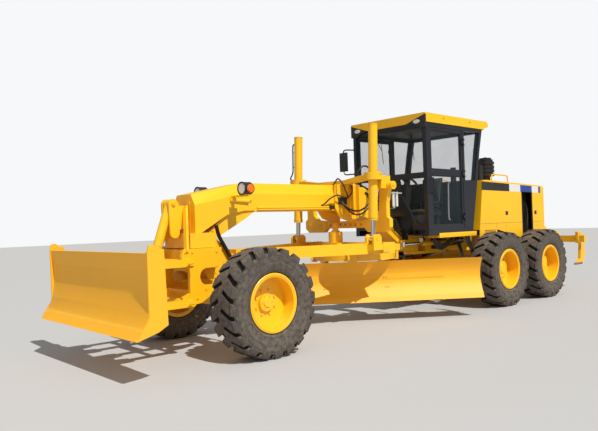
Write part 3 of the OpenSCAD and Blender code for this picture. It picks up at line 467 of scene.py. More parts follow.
# A closed profile of (radius, along) pairs turned about an axis through the middle
def addRing(mesh, middle, profile, sides=72, axis=(0, 1, 0)):
    axis, centre = Vector(axis), at(*middle)
    corners = [mesh.verts.new(centre + Vector((0, 0, radius / 1000)) + axis * along / 1000)
               for radius, along in profile]
    edges = [mesh.edges.new((corners[j - 1], corners[j])) for j in range(len(corners))]
    bmesh.ops.spin(mesh, geom=corners + edges, cent=centre, axis=axis, angle=2 * pi, steps=sides,
                   use_merge=True, use_duplicate=False)
    bmesh.ops.recalc_face_normals(mesh, faces=mesh.faces)


def piece(name, body, kind, boxes=(), rods=(), tubes=(), bolts=(), plates=(), smooth=35):
    mesh = bmesh.new()
    for item in boxes:
        addBox(mesh, *item)
    for item in rods:
        addRod(mesh, *item)
    for item in tubes:
        addTube(mesh, *item)
    for item in bolts:
        addBolt(mesh, *item)
    for item in plates:
        addPlate(mesh, *item)
    return finishMesh(name, mesh, body, kind, smooth)


# Wheels: bolts, hub cap, lock ring, the ribs of the sidewall and the ends of the lugs
hubs = {"front": {"face": 9, "count": 8, "ring": 150, "out": 50, "cap": 62, "capTop": 52, "capRing": 84},
        "rear": {"face": -21, "count": 12, "ring": 205, "out": 40, "cap": 90, "capTop": 78, "capRing": 118}}
lockRing = {"out": 190, "profile": [(322, -9), (322, 1.5), (326, 3), (334, 3), (337, -9)]}
sideRibs = {"places": ((402, 203.5), (498, 219.4), (560, 218)), "profile": [(-5, -4), (-2, 3), (2, 3), (5, -4)]}
lugs = {"profile": [(184, 638), (197, 649), (212, 630), (221, 592), (219, 562), (204, 556)],
        "half": 57, "count": 20, "turn": {1: 1.6, -1: 10.6}}


# Places on a circle in the wheel's plane
def around(x, y, radius, count, start=0.0):
    return [(x + radius * cos(2 * pi * (k + start) / count), y,
             axleHigh + radius * sin(2 * pi * (k + start) / count)) for k in range(count)]


for place, (x, s) in wheelPlaces.items():
    body = "wheel_" + place
    hub = hubs["front" if place.startswith("front") else "rear"]
    capOut = s * (tyreTrack + hub["out"])
    mesh = bmesh.new()
    for spot in around(x, s * (tyreTrack + hub["face"]), hub["ring"], hub["count"], 0.5):
        addBolt(mesh, spot, (0, s, 0), 13, 20)
    addRod(mesh, (x, capOut, axleHigh), (x, capOut + s * 16, axleHigh), hub["cap"], 32, hub["capTop"])
    for spot in around(x, capOut, hub["capRing"], 6):
        addBolt(mesh, spot, (0, s, 0), 8, 9)
    finishMesh("rimBolts_" + place, mesh, body, "yellow", 35)
    mesh = bmesh.new()
    addRing(mesh, (x, s * (tyreTrack + lockRing["out"]), axleHigh), [(r, s * y) for r, y in lockRing["profile"]])
    addRod(mesh, (x + 302, s * (tyreTrack + 120), axleHigh), (x + 298, s * (tyreTrack + 165), axleHigh), 6, 10)
    finishMesh("lockRing_" + place, mesh, body, "yellowWorn", 40)
    mesh = bmesh.new()
    for radius, out in sideRibs["places"]:
        for e in (-1, 1):
            addRing(mesh, (x, s * tyreTrack + e * out, axleHigh),
                    [(radius + r, e * y) for r, y in sideRibs["profile"]])
    finishMesh("tyreRibs_" + place, mesh, body, "tyreSide", 40)
    mesh = bmesh.new()
    for e in (1, -1):
        for k in range(lugs["count"]):
            turn = Matrix.Rotation(radians(k * 360 / lugs["count"] + lugs["turn"][e]), 3, "Y")
            lug = addPrism(mesh, [at(x - lugs["half"], s * tyreTrack + e * out, axleHigh + radius)
                                  for out, radius in lugs["profile"]], Vector((2 * lugs["half"] / 1000, 0, 0)))
            bmesh.ops.rotate(mesh, cent=at(x, 0, axleHigh), verts=lug, matrix=turn)
    finishMesh("lugEnds_" + place, mesh, body, "tyreSide", 30)
print("wheels done")

# Hood: stripes, seams, latches and the dark inside of the side openings
stripes = {"edges": [-5366, -6320, -6743, -7206, -7479, -7560],
           "kinds": ["black", "white", "blue", "white", "blue"],
           "lean": 22, "sides": (789.5, -791), "thick": 1.5}


# Upper and lower edge of the stripe band at a place along the hood
def bandTop(x):
    return 2232 + (x + 5366) * 0.030


def bandLow(x):
    return 2074 + (x + 5366) * 0.016


for k, kind in enumerate(stripes["kinds"]):
    mesh = bmesh.new()
    one, two = stripes["edges"][k], stripes["edges"][k + 1]
    lean = stripes["lean"] if k == 0 else 0
    for y in stripes["sides"]:
        addPlate(mesh, [(one + lean, bandLow(one)), (one, bandTop(one)),
                        (two, bandTop(two)), (two, bandLow(two))], y, y + stripes["thick"])
    finishMesh("hoodStripe_%d" % k, mesh, "rear", kind)

seamRows = ((-6790, -5262, 1459, 1463), (-6152, -6148, 1300, 1460), (-6792, -6788, 1463, 2044),
            (-5820, -5816, 1353, 1459), (-7640, -7204, 1459, 1463), (-7420, -7416, 1110, 1459))
hoodSeams = {"boxes": [((x0, s * 788.5, z0), (x1, s * 790.8, z1)) for s in (1, -1) for x0, x1, z0, z1 in seamRows]
             + [((-6602, -789, 2223), (-6598, 789, 2226.5)), ((-7640, -620, 2070), (-7636, 620, 2074))]}
piece("hoodSeams", "rear", "black", **hoodSeams)

latches = {"boxes": [], "rods": []}
for s in (1, -1):
    for x in (-6195, -7330):
        latches["boxes"] += [((x - 45, s * 786, 1609), (x + 45, s * 794, 1681), 3),
                             ((x - 32, s * 793, 1621), (x + 32, s * 798, 1659), 2)]
    for x in (-5460, -6700):
        z = 2256 + (x + 5500) * 0.034
        latches["rods"].append(((x, s * 700, z), (x + 60, s * 700, z - 2), 11))
piece("hoodLatches", "rear", "black", **latches)

openingInside = {"boxes": [], "rods": [], "tubes": []}
for s in (1, -1):
    openingInside["boxes"].append(((-7250, s * 640, 1245), (-6740, s * 648, 2080)))
    openingInside["boxes"] += [((-7196, s * 646, 1290 + k * 44), (-6800, s * 664, 1298 + k * 44)) for k in range(17)]
    openingInside["rods"].append(((-6850, s * 745, 2040), (-6990, s * 720, 1660), 9))
    openingInside["tubes"].append(([(-7150, s * 700, 1250), (-7120, s * 715, 1420), (-7160, s * 700, 1640),
                                    (-7130, s * 690, 1800)], 17))
piece("openingInside", "rear", "black", **openingInside)

openingTrim = {"boxes": [((x0, s * 780, z0), (x1, s * 793, z1), 2) for s in (1, -1) for x0, x1, z0, z1 in (
    (-7212, -7200, 1230, 2062), (-6790, -6778, 1230, 2062), (-7200, -6790, 2050, 2062), (-7200, -6790, 1228, 1240))]}
piece("openingTrim", "rear", "black", **openingTrim)
# Painted shade: a dark brown sheet just inside the hood side, behind the louvre slots
louvreBack = {"boxes": [((-5800, s * 770, 1240), (-5390, s * 776, 1350)) for s in (1, -1)]}
piece("louvreBack", "rear", "louvreShade", **louvreBack)

# Rear of the hood: radiator core, lamps and their frames
radiatorCore = {"boxes": [((-7632, -640, 1262), (-7626, 640, 2040))],
                "rods": [((-7640, y, 1290), (-7640, y, 2030), 5, 8) for y in (-420, -220, 220, 420)]}
piece("radiatorCore", "rear", "black", **radiatorCore)
tailLamps = {"boxes": [((-7716, s * 700 - 42, 1960), (-7700, s * 700 + 42, 2060), 4) for s in (1, -1)]}
piece("tailLamps", "rear", "lampRed", **tailLamps)
tailFrames = {"boxes": [((-7708, s * 700 - 52, 1950), (-7698, s * 700 + 52, 2070), 3) for s in (1, -1)]}
piece("tailFrames", "rear", "black", **tailFrames)

# Pre-cleaner: pale band, base ring, vanes and cap
stackX = -6820
cleanerBand = {"rods": [((stackX, 0, 2566), (stackX, 0, 2574), 168, 40),
                        ((stackX, 0, 2409), (stackX, 0, 2419), 104, 32)]}
piece("cleanerBand", "rear", "plastic", **cleanerBand)
vanes = {"rods": [((stackX, 0, 2795), (stackX, 0, 2803), 96, 32, 60), ((stackX, 0, 2803), (stackX, 0, 2818), 14)],
         "bolts": [((stackX + 78 * cos(a), 78 * sin(a), 2250), (0, 0, 1), 6, 8)
                   for a in (0.3, 1.6, 2.9, 4.2)]}
for k in range(24):
    x, y = stackX + 171 * cos(pi * k / 12), 171 * sin(pi * k / 12)
    vanes["rods"] += [((x, y, z - 18), (x, y, z + 26), 5, 6) for z in (2442, 2522, 2602, 2682)]
piece("cleanerVanes", "rear", "black", **vanes)
print("hood done")

# Cab: seals round the panes, handles, wipers, roof lamps and eyes
# Four strips inside an upright opening in a side wall
def frameBoxes(x0, x1, z0, z1, y0, y1, wide):
    return [((x0, y0, z0), (x1, y1, z0 + wide)), ((x0, y0, z1 - wide), (x1, y1, z1)),
            ((x0, y0, z0), (x0 + wide, y1, z1)), ((x1 - wide, y0, z0), (x1, y1, z1))]


for s, door in ((1, "door_left"), (-1, "door_right")):
    seals = {"boxes": frameBoxes(-4690, -3830, 2400, 3050, s * 777.3, s * 786, 16)
             + frameBoxes(-4690, -3830, 1470, 2300, s * 777.3, s * 786, 16)}
    piece("doorSeals_" + door, door, "black", **seals)
    lock = {"boxes": [((-3872, s * 794, 2318), (-3802, s * 801, 2382), 4)],
            "rods": [((-3850, s * 800, 2350), (-3850, s * 812, 2350), 14),
                     ((-4700, s * 796, 2352), (-4690, s * 796, 2352), 6)]}
    piece("doorLock_" + door, door, "plastic", **lock)
    grab = {"tubes": [([(-4350, s * 768, 1560), (-4352, s * 742, 1575), (-4354, s * 738, 1700), (-4366, s * 738, 2050),
                        (-4370, s * 742, 2180), (-4370, s * 768, 2195)], 13, 10, 4)]}
    piece("doorGrab_" + door, door, "steelPale", **grab)
windscreenSeal = {"boxes": [((-3714, -730, 2340), (-3706, 730, 2356)), ((-3714, -730, 3094), (-3706, 730, 3110)),
                            ((-3714, -730, 2340), (-3706, -714, 3110)), ((-3714, 714, 2340), (-3706, 730, 3110))]}
piece("windscreenSeal", "rear", "black", **windscreenSeal)
wipers = {"rods": []}
for y in (-330, 330):
    tip = y + 190
    wipers["rods"] += [((-3706, y, 3128), (-3684, y, 3128), 16), ((-3688, y, 3128), (-3694, tip, 2790), 5, 8),
                       ((-3704, tip - 30, 3010), (-3704, tip + 20, 2560), 5, 8)]
piece("wipers", "rear", "black", **wipers)
cabTrim = {"boxes": [((-3690, -470, 1640), (-3686, 470, 1646)), ((-3690, -700, 2296), (-3685, 700, 2304))], "rods": []}
for s in (1, -1):
    cabTrim["boxes"] += [((-5006, s * 799, 1404), (-3692, s * 803, 1409)),
                         ((-3760, s * 799, 1420), (-3700, s * 803, 1440), 2)]
    cabTrim["rods"] += [((-3735, s * 799, z), (-3735, s * 804, z), 9) for z in (1500, 2250, 3050)]
piece("cabTrim", "rear", "black", **cabTrim)
roofEyes = {"rods": []}
for s in (1, -1):
    for x in (-4180, -4980):
        roofEyes["rods"] += [((x, s * 815, 3276), (x, s * 828, 3276), 17, 20),
                             ((x, s * 827, 3276), (x, s * 834, 3276), 9, 6)]
piece("roofEyes", "rear", "yellowWorn", **roofEyes)
roofPanel = {"boxes": [((-5400, -640, 3322), (-3860, 640, 3325), 2)]}
piece("roofPanel", "rear", "yellow", **roofPanel)
ceiling = {"boxes": [((-5340, -748, 3160), (-3742, 748, 3172), 3)]}
piece("ceiling", "rear", "plastic", **ceiling)
roofLamps = {"spot": (-3647, 652, 3190), "lens": (0, 12, 35, 28), "bezel": (-5, 4, 41, 39), "wide": 2.1}
lensMesh, bezelMesh = bmesh.new(), bmesh.new()
for s in (1, -1):
    x, y, z = roofLamps["spot"]
    for mesh, part in ((lensMesh, "lens"), (bezelMesh, "bezel")):
        back, front, radius, radiusFront = roofLamps[part]
        made = addRod(mesh, (x + back, s * y, z), (x + front, s * y, z - 2), radius, 36, radiusFront)
        bmesh.ops.scale(mesh, vec=(1, roofLamps["wide"], 1), verts=made,
                        space=Matrix.Translation(-at(x, s * y, z)))
    addBox(lensMesh, (-5656, s * 600 - 66, 3210), (-5649, s * 600 + 66, 3270), 3)
finishMesh("roofLenses", lensMesh, "rear", "lampWhite", 35)
finishMesh("roofBezels", bezelMesh, "rear", "plastic", 35)
levers = {"rods": [((-4300, -330, 1560), (-4255, -300, 2000), 9), ((-4350, -330, 1560), (-4310, -310, 1960), 9),
                   ((-4400, -330, 1560), (-4370, -320, 1930), 9)],
          "boxes": []}
for s, wall in ((1, 300), (-1, -350)):
    levers["boxes"] += [((-4640, s * 270, 1640), (-4240, s * 390, 1700), 8),
                        ((-4640, wall, 1330), (-4560, wall + 50, 1650))]
    for x in (-4300, -4370, -4440, -4510):
        levers["rods"] += [((x, s * 330, 1698), (x + 15, s * 330, 1850), 5, 8),
                           ((x + 14, s * 330, 1845), (x + 18, s * 330, 1885), 15, 12, 11)]
piece("cabLevers", "rear", "plastic", **levers)
mirrorGlass = {"boxes": [((-3638, -1070, 2506), (-3634.5, -910, 2834), 2)]}
piece("mirrorGlass", "rear", "mirrorFace", **mirrorGlass)
mirrorShell = {"boxes": [((-3642, -1077, 2498), (-3602, -903, 2506), 3), ((-3642, -1077, 2834), (-3602, -903, 2842), 3),
                         ((-3642, -911, 2498), (-3602, -903, 2842), 3), ((-3642, -1077, 2498), (-3602, -1069, 2842), 3),
                         ((-3610, -1062, 2512), (-3598, -918, 2828), 8)]}
piece("mirrorShell", "rear", "plastic", **mirrorShell)
print("cab done")

# Below the cab: work lamp, bright sill, valve block with its lines, step treads
underLamp = {"rods": [((-3985, 476, 1232), (-3912, 476, 1229), 34, 24, 48),
                      ((-3912, 476, 1229), (-3900, 476, 1229), 50, 28)],
             "boxes": [((-3975, 470, 1240), (-3955, 482, 1305))]}
piece("underLamp", "rear", "plastic", **underLamp)
underLens = {"rods": [((-3901, 476, 1229), (-3892, 476, 1228.5), 44, 28, 36)]}
piece("underLens", "rear", "lampWhite", **underLens)
sill = {"boxes": []}
treads = {"boxes": []}
for s in (1, -1):
    sill["boxes"] += [((-5090, s * 560, 1262), (-3960, s * 812, 1303.5), 3),
                      ((-5090, s * 806, 1262), (-3960, s * 813, 1340), 2)]
    treads["boxes"] += [((-4860 + k * 28, s * 575, 1199), (-4850 + k * 28, s * 800, 1204)) for k in range(12)]
    treads["boxes"] += [((-5050 + k * 30, s * 575, 879), (-5040 + k * 30, s * 800, 885)) for k in range(9)]
piece("cabSill", "rear", "yellow", **sill)
piece("stepTreads", "rear", "steel", **treads)
valveBlock = {"boxes": [((-4880, 178, 1040), (-4600, 300, 1220), 6), ((-4880, -300, 1040), (-4600, -178, 1220), 6),
                        ((-4800, -170, 1303), (-4500, 170, 1312), 3)], "rods": [], "tubes": []}
for k in range(5):
    for s in (1, -1):
        for z in (1080, 1140):
            x = -4860 + k * 60
            valveBlock["rods"].append(((x, s * 300, z), (x, s * 318, z), 18, 6))
            valveBlock["tubes"].append(([(x, s * 315, z), (-4850 + k * 50, s * 360, z + 10),
                                         (-4900 + k * 30, s * (400 + k * 14), z + 20),
                                         (-5010, s * (470 + k * 26), z + 40 + k * 8)], 12, 8, 4))
piece("valveBlock", "rear", "black", **valveBlock)
# Hoses that loop below the front of the cab
underHoses = {"tubes": [([(-4860 + k * 20, 500 + k * 8, 1290), (-4700 + k * 12, 510 + k * 8, 1160 + k * 8),
                          (-4500 + k * 16, 512 + k * 8, 1060 + k * 16), (-4330 + k * 10, 508 + k * 8, 1070 + k * 22),
                          (-4230 + k * 8, 504 + k * 8, 1170 + k * 14), (-4190, 500 + k * 8, 1296)], 15, 10, 5)
                        for k in range(6)]}
piece("underHoses", "rear", "hoseRubber", **underHoses)
print("under cab done")

# Nose and beam: pin keepers, bolts and lamps
keepers = {"boxes": [], "bolts": []}
for s in (1, -1):
    for z in (1150, 670):
        keepers["boxes"].append(((634, s * 518, z - 10), (712, s * 526, z + 10), 2))
        keepers["bolts"].append(((696, s * 524, z), (0, s, 0), 7, 7))
    for x, z in ((540, 1270), (640, 1270), (480, 700), (350, 800), (180, 1080), (180, 1260)):
        keepers["bolts"].append(((x, s * 350.5, z), (0, s, 0), 11, 12))
    keepers["bolts"].append(((630, s * 109, 1870), (0, s, 0), 16, 10))
piece("mountKeepers", "front", "yellowWorn", **keepers)
lampArm = {"rods": [((-150, s * 214, 1914), (-470, s * 204, 1899), 25, 24) for s in (1, -1)],
           "boxes": [((-225, s * 205, 1890), (-165, s * 262, 1944), 6) for s in (1, -1)]}
piece("lampArm", "front", "yellow", **lampArm)
noseTrim = {"bolts": [((424, y, z), (1, 0, 0), 9, 9) for y in (-150, 150) for z in (1560, 1660, 1760, 1860)],
            "boxes": []}
for s in (1, -1):
    noseTrim["bolts"] += [((x, s * 220.5, z), (0, s, 0), 10, 10)
                          for x, z in ((-110, 980), (110, 980), (-120, 1100), (20, 1280))]
    noseTrim["boxes"] += [((419, s * 118, 1520), (424, s * 146, 1900), 2),
                          ((-2050, s * 180, 1768), (-640, s * 184, 1772))]
piece("noseTrim", "front", "yellow", **noseTrim)
noseBosses = {"rods": [((-290, s * 207, 1918), (-290, s * 219, 1918), 32, 28) for s in (1, -1)]}
piece("noseBosses", "front", "yellowWorn", **noseBosses)
headLenses = {"rods": [((-129, s * 510, 2048), (-116, s * 510, 2048), 74, 36, 60) for s in (1, -1)]}
piece("headLenses", "front", "lampWhite", **headLenses)
turnLenses = {"rods": [((-195, s * 603, 2044), (-195, s * 620, 2044), 58, 32, 46) for s in (1, -1)]}
piece("turnLenses", "front", "lampOrange", **turnLenses)
headRims = {"spot": (-126, 510, 2048), "profile": [(72, -6), (88, -6), (88, 9), (80, 12), (74, 8)]}
mesh = bmesh.new()
for s in (1, -1):
    x, y, z = headRims["spot"]
    addRod(mesh, (-195, s * 590, 2044), (-195, s * 606, 2044), 65, 32)
    addRing(mesh, (x, s * y, z), headRims["profile"], 40, (1, 0, 0))
finishMesh("headRims", mesh, "front", "plastic", 35)

# Beam hoses: manifold, the loop over the beam and the lines down the neck
manifold = {"boxes": [((-2330, 181, 1850), (-2190, 262, 1960), 6), ((-2090, 181, 1775), (-2010, 240, 1835), 4)],
            "rods": [((x, 255, z), (x, 276, z), 13, 6) for x in (-2310, -2276, -2242, -2208) for z in (1880, 1930)]}
piece("manifold", "front", "black", **manifold)
beamLines = {"tubes": [
    ([(-2210, 268, 1880), (-2215, 320, 1830), (-2330, 345, 1762), (-2520, 350, 1745), (-2745, 340, 1845),
      (-2890, 318, 2040), (-2925, 300, 2260), (-2840, 285, 2430), (-2720, 270, 2450), (-2640, 240, 2360),
      (-2610, 160, 2200), (-2600, 120, 2150)], 14),
    ([(-2244, 268, 1880), (-2250, 310, 1800), (-2400, 330, 1700), (-2560, 335, 1690), (-2780, 320, 1800),
      (-2905, 300, 1980), (-2960, 260, 2080), (-3020, 200, 2060), (-3060, 150, 2040)], 12),
    ([(-2278, 268, 1930), (-2285, 330, 1960), (-2210, 360, 2060), (-2150, 340, 2180), (-2160, 250, 2240),
      (-2190, 150, 2180), (-2200, 100, 2150)], 11),
    ([(-2210, 268, 1930), (-2180, 300, 1965), (-2080, 290, 1985), (-1960, 260, 1930), (-1900, 215, 1860),
      (-1850, 196, 1838)], 11),
    ([(-2310, 268, 1930), (-2340, 300, 1960), (-2420, 300, 2040), (-2440, 260, 2150), (-2420, 180, 2200),
      (-2400, 120, 2160)], 10)]}
piece("beamLines", "front", "hoseRubber", **beamLines)
neckLine = [(-2860, 2124), (-3150, 1990), (-3420, 1772)]
neckLines = {"tubes": []}
for k in range(9):  # over the top of the neck, down into its opening
    y = -124 + k * 31
    lift = 22 if k % 2 else 50
    neckLines["tubes"].append(([(x + 0.6 * lift, y + (7 if (j + k) % 2 else -7), z + 0.8 * lift)
                                for j, (x, z) in enumerate(neckLine)] + [(-3490, y, 1700)], 14))
for k in range(6):  # down its left side
    out = 164 + (k % 2) * 26
    neckLines["tubes"].append(([
        (-2880 - k * 30, out, 2040 - k * 28), (-3180, out, 1925 - k * 36), (-3450, out, 1712 - k * 36),
        (-3720, out, 1492 - k * 34), (-3860, out - 6, 1382 - k * 26), (-3960, 146, 1300 - k * 13)], 14))
piece("neckLines", "front", "hoseRubber", **neckLines)
neckClamps = {"boxes": [((-3276, -152, 1863), (-3248, 152, 1950), 3)]
              + [((x - 12, 149, z - 210), (x + 12, 208, z - 10), 3)
                 for x, z in ((-3262, 1880), (-3600, 1610), (-3820, 1430))]}
piece("neckClamps", "front", "black", **neckClamps)
filterBracket = {"boxes": [((-3350, 148, 1770), (-3290, 400, 1780), 2), ((-3350, 392, 1770), (-3290, 400, 2012), 2),
                           ((-3460, 392, 2010), (-3190, 455, 2030), 5)],
                 "rods": [((x, 424, 2030), (x, 424, 2042), 20, 20) for x in (-3270, -3360)]}
piece("filterBracket", "front", "paleGreen", **filterBracket)
filterCans = {"rods": [rod for x in (-3262, -3350) for rod in (((x, 425, 1806), (x, 425, 2012), 23, 28),
                                                               ((x, 425, 1796), (x, 425, 1812), 14, 20))]}
piece("filterCans", "front", "white", **filterCans)

# Saddle: pin ends, locking pins, the pipe of the far cylinder and the glands
saddlePins = {"bolts": [], "rods": []}
for s in (1, -1):
    saddlePins["bolts"].append(((-2590, s * 986, 2105), (0, s, 0), 22, 10))
    saddlePins["bolts"] += [((-2320 + 108 * cos(a), s * 820 + 108 * sin(a), 2295), (0, 0, 1), 9, 10)
                            for a in (0.5, 2.6, 3.7, 5.8)]
    saddlePins["rods"] += [((-2632, s * 820, 1540), (-2546, s * 820, 1540), 26, 24),
                           ((-2545, s * 560, 1532), (-2538, s * 560, 1532), 22, 24)]
piece("saddlePins", "front", "yellowWorn", **saddlePins)
farPipe = {"tubes": [([(-2386, -868, 2900), (-2316, -896, 2900), (-2296, -901, 2860), (-2290, -904, 2600),
                       (-2284, -906, 2440), (-2272, -932, 2370), (-2262, -947, 2330), (-2270, -926, 2306),
                       (-2300, -900, 2300)], 11)],
           "rods": [((-2350, -860, 2760), (-2294, -898, 2760), 6, 8), ((-2350, -860, 2520), (-2290, -900, 2520), 6, 8)]}
piece("farPipe", "lift_barrels", "black", **farPipe)
# Glands: start and end along the cylinder from its trunnion, and radius
glands = {"rows": ((-780, -772, 71), (-770, -762, 71), (600, 624, 74), (628, 652, 70)),
          "middle": (-2320, 820, 2240), "down": (40 / 920.87, -920 / 920.87)}
mesh = bmesh.new()
for s in (1, -1):
    x, y, z = glands["middle"]
    dx, dz = glands["down"]
    for one, two, radius in glands["rows"]:
        addRod(mesh, (x + dx * one, s * y, z + dz * one), (x + dx * two, s * y, z + dz * two), radius, 28)
finishMesh("liftGlands", mesh, "lift_barrels", "yellowWorn", 35)
print("front done")

# Drawbar: gearbox bolts, motor, lines; fork pins
gearBox = {"bolts": [((-2330 + 92 * cos(pi * k / 4), 92 * sin(pi * k / 4), 1420), (0, 0, 1), 9, 10)
                     for k in range(8)],
           "rods": [((-2330, 0, 1418), (-2330, 0, 1450), 66, 28), ((-2330, 0, 1450), (-2330, 0, 1560), 48, 24, 44),
                    ((-2330, 46, 1520), (-2330, 74, 1520), 14, 6)]
           + [((-2280, s * 820 - 92, 1320), (-2280, s * 820 + 92, 1320), 27, 24) for s in (1, -1)]}
piece("gearBox", "drawbar", "yellowWorn", **gearBox)
barPlates = {"boxes": [((-2540, s * 560 - 60, 1254), (-2420, s * 560 + 60, 1262), 3) for s in (1, -1)]
             + [((-2600, s * 930 - 26, 1110), (-2400, s * 930 - 20, 1240), 3) for s in (1, -1)],
             "bolts": [((-2460 + dx, s * 560 + dy, 1261), (0, 0, 1), 9, 9)
                       for s in (1, -1) for dx in (-45, 10) for dy in (-40, 40)]}
piece("barPlates", "drawbar", "yellowWorn", **barPlates)

# Circle: teeth inside the ring
teeth = {"count": 64, "inner": 522, "outer": 543, "half": 11, "low": 982, "high": 1060}
mesh = bmesh.new()
for k in range(teeth["count"]):
    made = addBox(mesh, (circleX + teeth["inner"], -teeth["half"], teeth["low"]),
                  (circleX + teeth["outer"], teeth["half"], teeth["high"]))
    turn = Matrix.Rotation(2 * pi * k / teeth["count"], 3, "Z")
    bmesh.ops.rotate(mesh, cent=at(circleX, 0, 1000), matrix=turn, verts=made)
finishMesh("circleTeeth", mesh, "circle", "steel", 35)

# Moldboard: wear plates, end bits, edge, ribs and bolts; profiles are (ahead, high)
board = {"low": -1651, "high": 2009, "bit": 135, "inset": 60, "bolts": 23, "edgeBolts": 20,
         "wear": [(43.5, 307), (12.5, 381), (-38, 452), (-46, 446), (2, 376), (33, 307)],
         "end": [(42.5, 307), (12, 381), (-38.5, 452), (-88.5, 561), (-110.5, 640), (-103.5, 739.5), (-58.8, 849),
                 (-22, 905), (-30, 905), (-70, 850), (-112, 742), (-120, 638), (-98, 556), (-48, 446), (2, 376),
                 (33, 307)],
         "edge": [(44.5, 306.5), (40, 318), (26, 316), (30, 306.5)],
         "rib": [(-92, 850), (-158, 800), (-196, 700), (-196, 610), (-160, 520), (-100, 420), (-80, 436),
                 (-132, 550), (-148, 636), (-140, 744), (-96, 852)]}
boltRun = board["high"] - board["low"] - 2 * board["inset"]
mesh = bmesh.new()
for u0, u1 in ((board["low"] + board["bit"], -700), (-697, 400), (403, board["high"] - board["bit"])):
    addSweep(mesh, board["wear"], u0 + 1.5, u1 - 1.5)
addSweep(mesh, board["end"], board["low"] + 14, board["low"] + board["bit"] - 2)
addSweep(mesh, board["end"], board["high"] - board["bit"] + 2, board["high"] - 60)
for k in range(board["bolts"]):
    u = board["low"] + board["inset"] + k * boltRun / board["bolts"]
    spot = Vector(onBoard(u, 26, 350))
    ahead = Vector(onBoard(u, 30, 352)) - spot
    addRod(mesh, spot, spot + ahead.normalized() * 6, 13, 14)
finishMesh("wearPlates", mesh, "moldboard", "yellowWorn", 30)
mesh = bmesh.new()
addSweep(mesh, board["edge"], board["low"] + 0.5, board["high"] - 0.5)
for k in range(board["edgeBolts"]):
    u = board["low"] + board["inset"] + k * boltRun / (board["edgeBolts"] - 1)
    addRod(mesh, onBoard(u, -4, 340), onBoard(u, -22, 332), 13, 6)
finishMesh("cuttingEdge", mesh, "moldboard", "cutting", 30)
mesh = bmesh.new()
for u in (-1001, -461, 239, 819, 1359):
    addSweep(mesh, board["rib"], u - 8, u + 8)
finishMesh("boardRibs", mesh, "moldboard", "yellow", 30)
railBolts = {"bolts": [(onBoard(u + du, 306, z), (0, 0, 1), 8, 8)
                       for u in (-490, 490) for du in (-22, 22) for z in (594, 794)]}
piece("railBolts", "circle", "yellowWorn", **railBolts, smooth=30)
print("blade done")

# Dozer blade: edge, ribs on its back, pin heads and the ends of its upper corners
dozer = {"boxes": [((1440, y - 8, 640), (1606, y + 8, 1210)) for y in (-900, -640, 0, 640, 900)],
         "plates": [([(1792, 474), (1703, 588), (1693, 581), (1776, 476)], -1262, 1262)],
         "bolts": [((1250, s * 526, z), (0, s, 0), 20, 9) for s in (1, -1) for z in (1150, 670)],
         "rods": [((1590, 1284, 1375), (1590, 1287, 1375), 17), ((1590, -1266, 1375), (1590, -1262, 1375), 17)]}
piece("dozerTrim", "dozer_blade", "yellowWorn", **dozer)
dozerGland = {"rods": [((804, 0, 1376), (815, 0, 1346), 61, 28)]}
piece("dozerGland", "dozer_barrel", "yellowWorn", **dozerGland)


# The two blades once more with their points merged, so that the curve shades smoothly
def smoothCopy(name, node, body, kind, angle):
    mesh = bmesh.new()
    mesh.from_mesh(nodes[node].data)
    bmesh.ops.remove_doubles(mesh, verts=mesh.verts, dist=0.00005)
    bmesh.ops.dissolve_limit(mesh, angle_limit=radians(0.3), verts=mesh.verts, edges=mesh.edges)
    for face in mesh.faces:
        face.material_index = 0
    obj = finishMesh(name, mesh, body, kind, angle)
    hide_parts(node)


smoothCopy("boardSkin", "moldboard", "moldboard", "yellowBoard", 24)
smoothCopy("dozerSkin", "dozer_blade", "dozer_blade", "yellowBoard", 17)

# Ripper: collars and tips of the shanks
shanks = (-1000, -500, 0, 500, 1000)
collars = {"boxes": [((-8850, y - 36, 960), (-8720, y + 36, 1135), 4) for y in shanks],
           "bolts": [((-8785, y + 36, 1160), (0, 1, 0), 12, 8) for y in shanks]}
piece("ripperCollars", "ripper", "yellowWorn", **collars)
tips = {"plates": [([(-8885, 502), (-8600, 500), (-8590, 508), (-8640, 540), (-8880, 548)], y - 33, y + 33)
                   for y in shanks]}
piece("ripperTips", "ripper", "cutting", **tips)
print("rear done")

# Seat: two cushions on a plain base; the cloth may swell by no more than the cap, in metres
padCloth = {"bevel": 26, "voxel": 0.008, "pressure": 4, "frames": 20}


# The mesh of a piece as its modifiers leave it
def bake(obj):
    graph = bpy.context.evaluated_depsgraph_get()
    data = bpy.data.meshes.new_from_object(obj.evaluated_get(graph))
    obj.modifiers.clear()
    return data


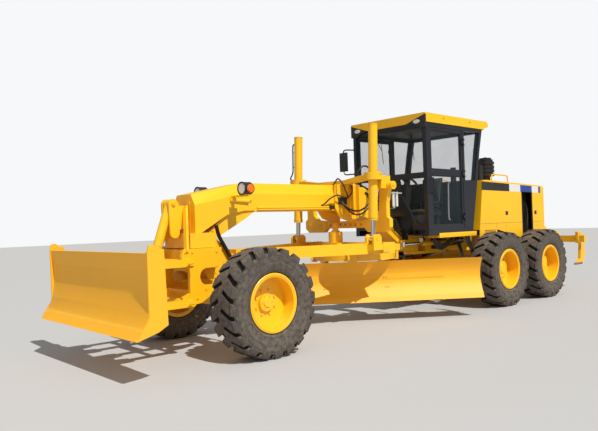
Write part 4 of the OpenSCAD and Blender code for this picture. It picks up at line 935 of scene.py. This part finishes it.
def pad(name, low, high, cap, lean):
    mesh = bmesh.new()
    addBox(mesh, low, high, padCloth["bevel"])
    middle = [(low[i] + high[i]) / 2 for i in range(3)]
    if lean:
        bmesh.ops.rotate(mesh, cent=at(*middle), matrix=Matrix.Rotation(lean, 3, "Y"), verts=mesh.verts)
    obj = finishMesh(name, mesh, "rear", "seatCloth", 180)
    modifier = obj.modifiers.new("remesh", "REMESH")
    modifier.mode = "VOXEL"
    modifier.voxel_size = padCloth["voxel"]
    bpy.context.view_layer.update()
    before = bake(obj)
    obj.data = before
    before.materials.clear()
    before.materials.append(finishes["seatCloth"])
    rest = [v.co.copy() for v in before.vertices]
    cloth = obj.modifiers.new("cloth", "CLOTH")
    cloth.settings.use_pressure = True
    cloth.settings.uniform_pressure_force = padCloth["pressure"]
    cloth.settings.effector_weights.gravity = 0
    cloth.point_cache.frame_start = 1
    cloth.point_cache.frame_end = padCloth["frames"]
    for number in range(1, padCloth["frames"] + 1):
        scene.frame_set(number)
    after = bake(obj)
    for v, start in zip(after.vertices, rest):
        step = v.co - start
        if step.length > cap:
            v.co = start + step.normalized() * cap
    obj.data = after
    for face in after.polygons:
        face.use_smooth = True
    scene.frame_set(1)
    return obj


cushions = {"seatPad": ((-4880, -214, 1662), (-4464, 214, 1742), 0.016, 0.0),
            "backPad": ((-4935, -205, 1790), (-4860, 205, 2340), 0.016, -0.16)}
seatPad = pad("seatPad", *cushions["seatPad"])
backPad = pad("backPad", *cushions["backPad"])
stand = {"rods": [((-4700, 0, 1330), (-4700, 0, 1640), 90, 32)],
         "boxes": [((-4890, -205, 1640), (-4460, 205, 1668), 4)],
         "plates": [([(-4870, 1650), (-4900, 1650), (-5006, 2330), (-4986, 2330)], -190, 190)]}
for s in (1, -1):
    stand["boxes"] += [((-4850, s * 290, 1850), (-4500, s * 250, 1890), 8),
                       ((-4850, s * 245, 1650), (-4810, s * 225, 1880)),
                       ((-4850, s * 290, 1862), (-4812, s * 226, 1880))]
seatStand = piece("seatStand", "rear", "plastic", **stand)
for obj in (seatPad, backPad, seatStand):
    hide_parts("seat")
print("seat done")

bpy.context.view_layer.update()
# A plain pale floor
floorFinish = {"Base Color": (0.50, 0.51, 0.52, 1), "Roughness": 0.85}
floorMesh = bmesh.new()
bmesh.ops.create_grid(floorMesh, x_segments=1, y_segments=1, size=60)
floorData = bpy.data.meshes.new("floor")
floorMesh.to_mesh(floorData)
floorMesh.free()
floorObj = bpy.data.objects.new("floor", floorData)
scene.collection.objects.link(floorObj)
floorMat = bpy.data.materials.new("floorPale")
floorMat.use_nodes = True
setInputs(floorMat.node_tree.nodes["Principled BSDF"], floorFinish)
floorData.materials.append(floorMat)
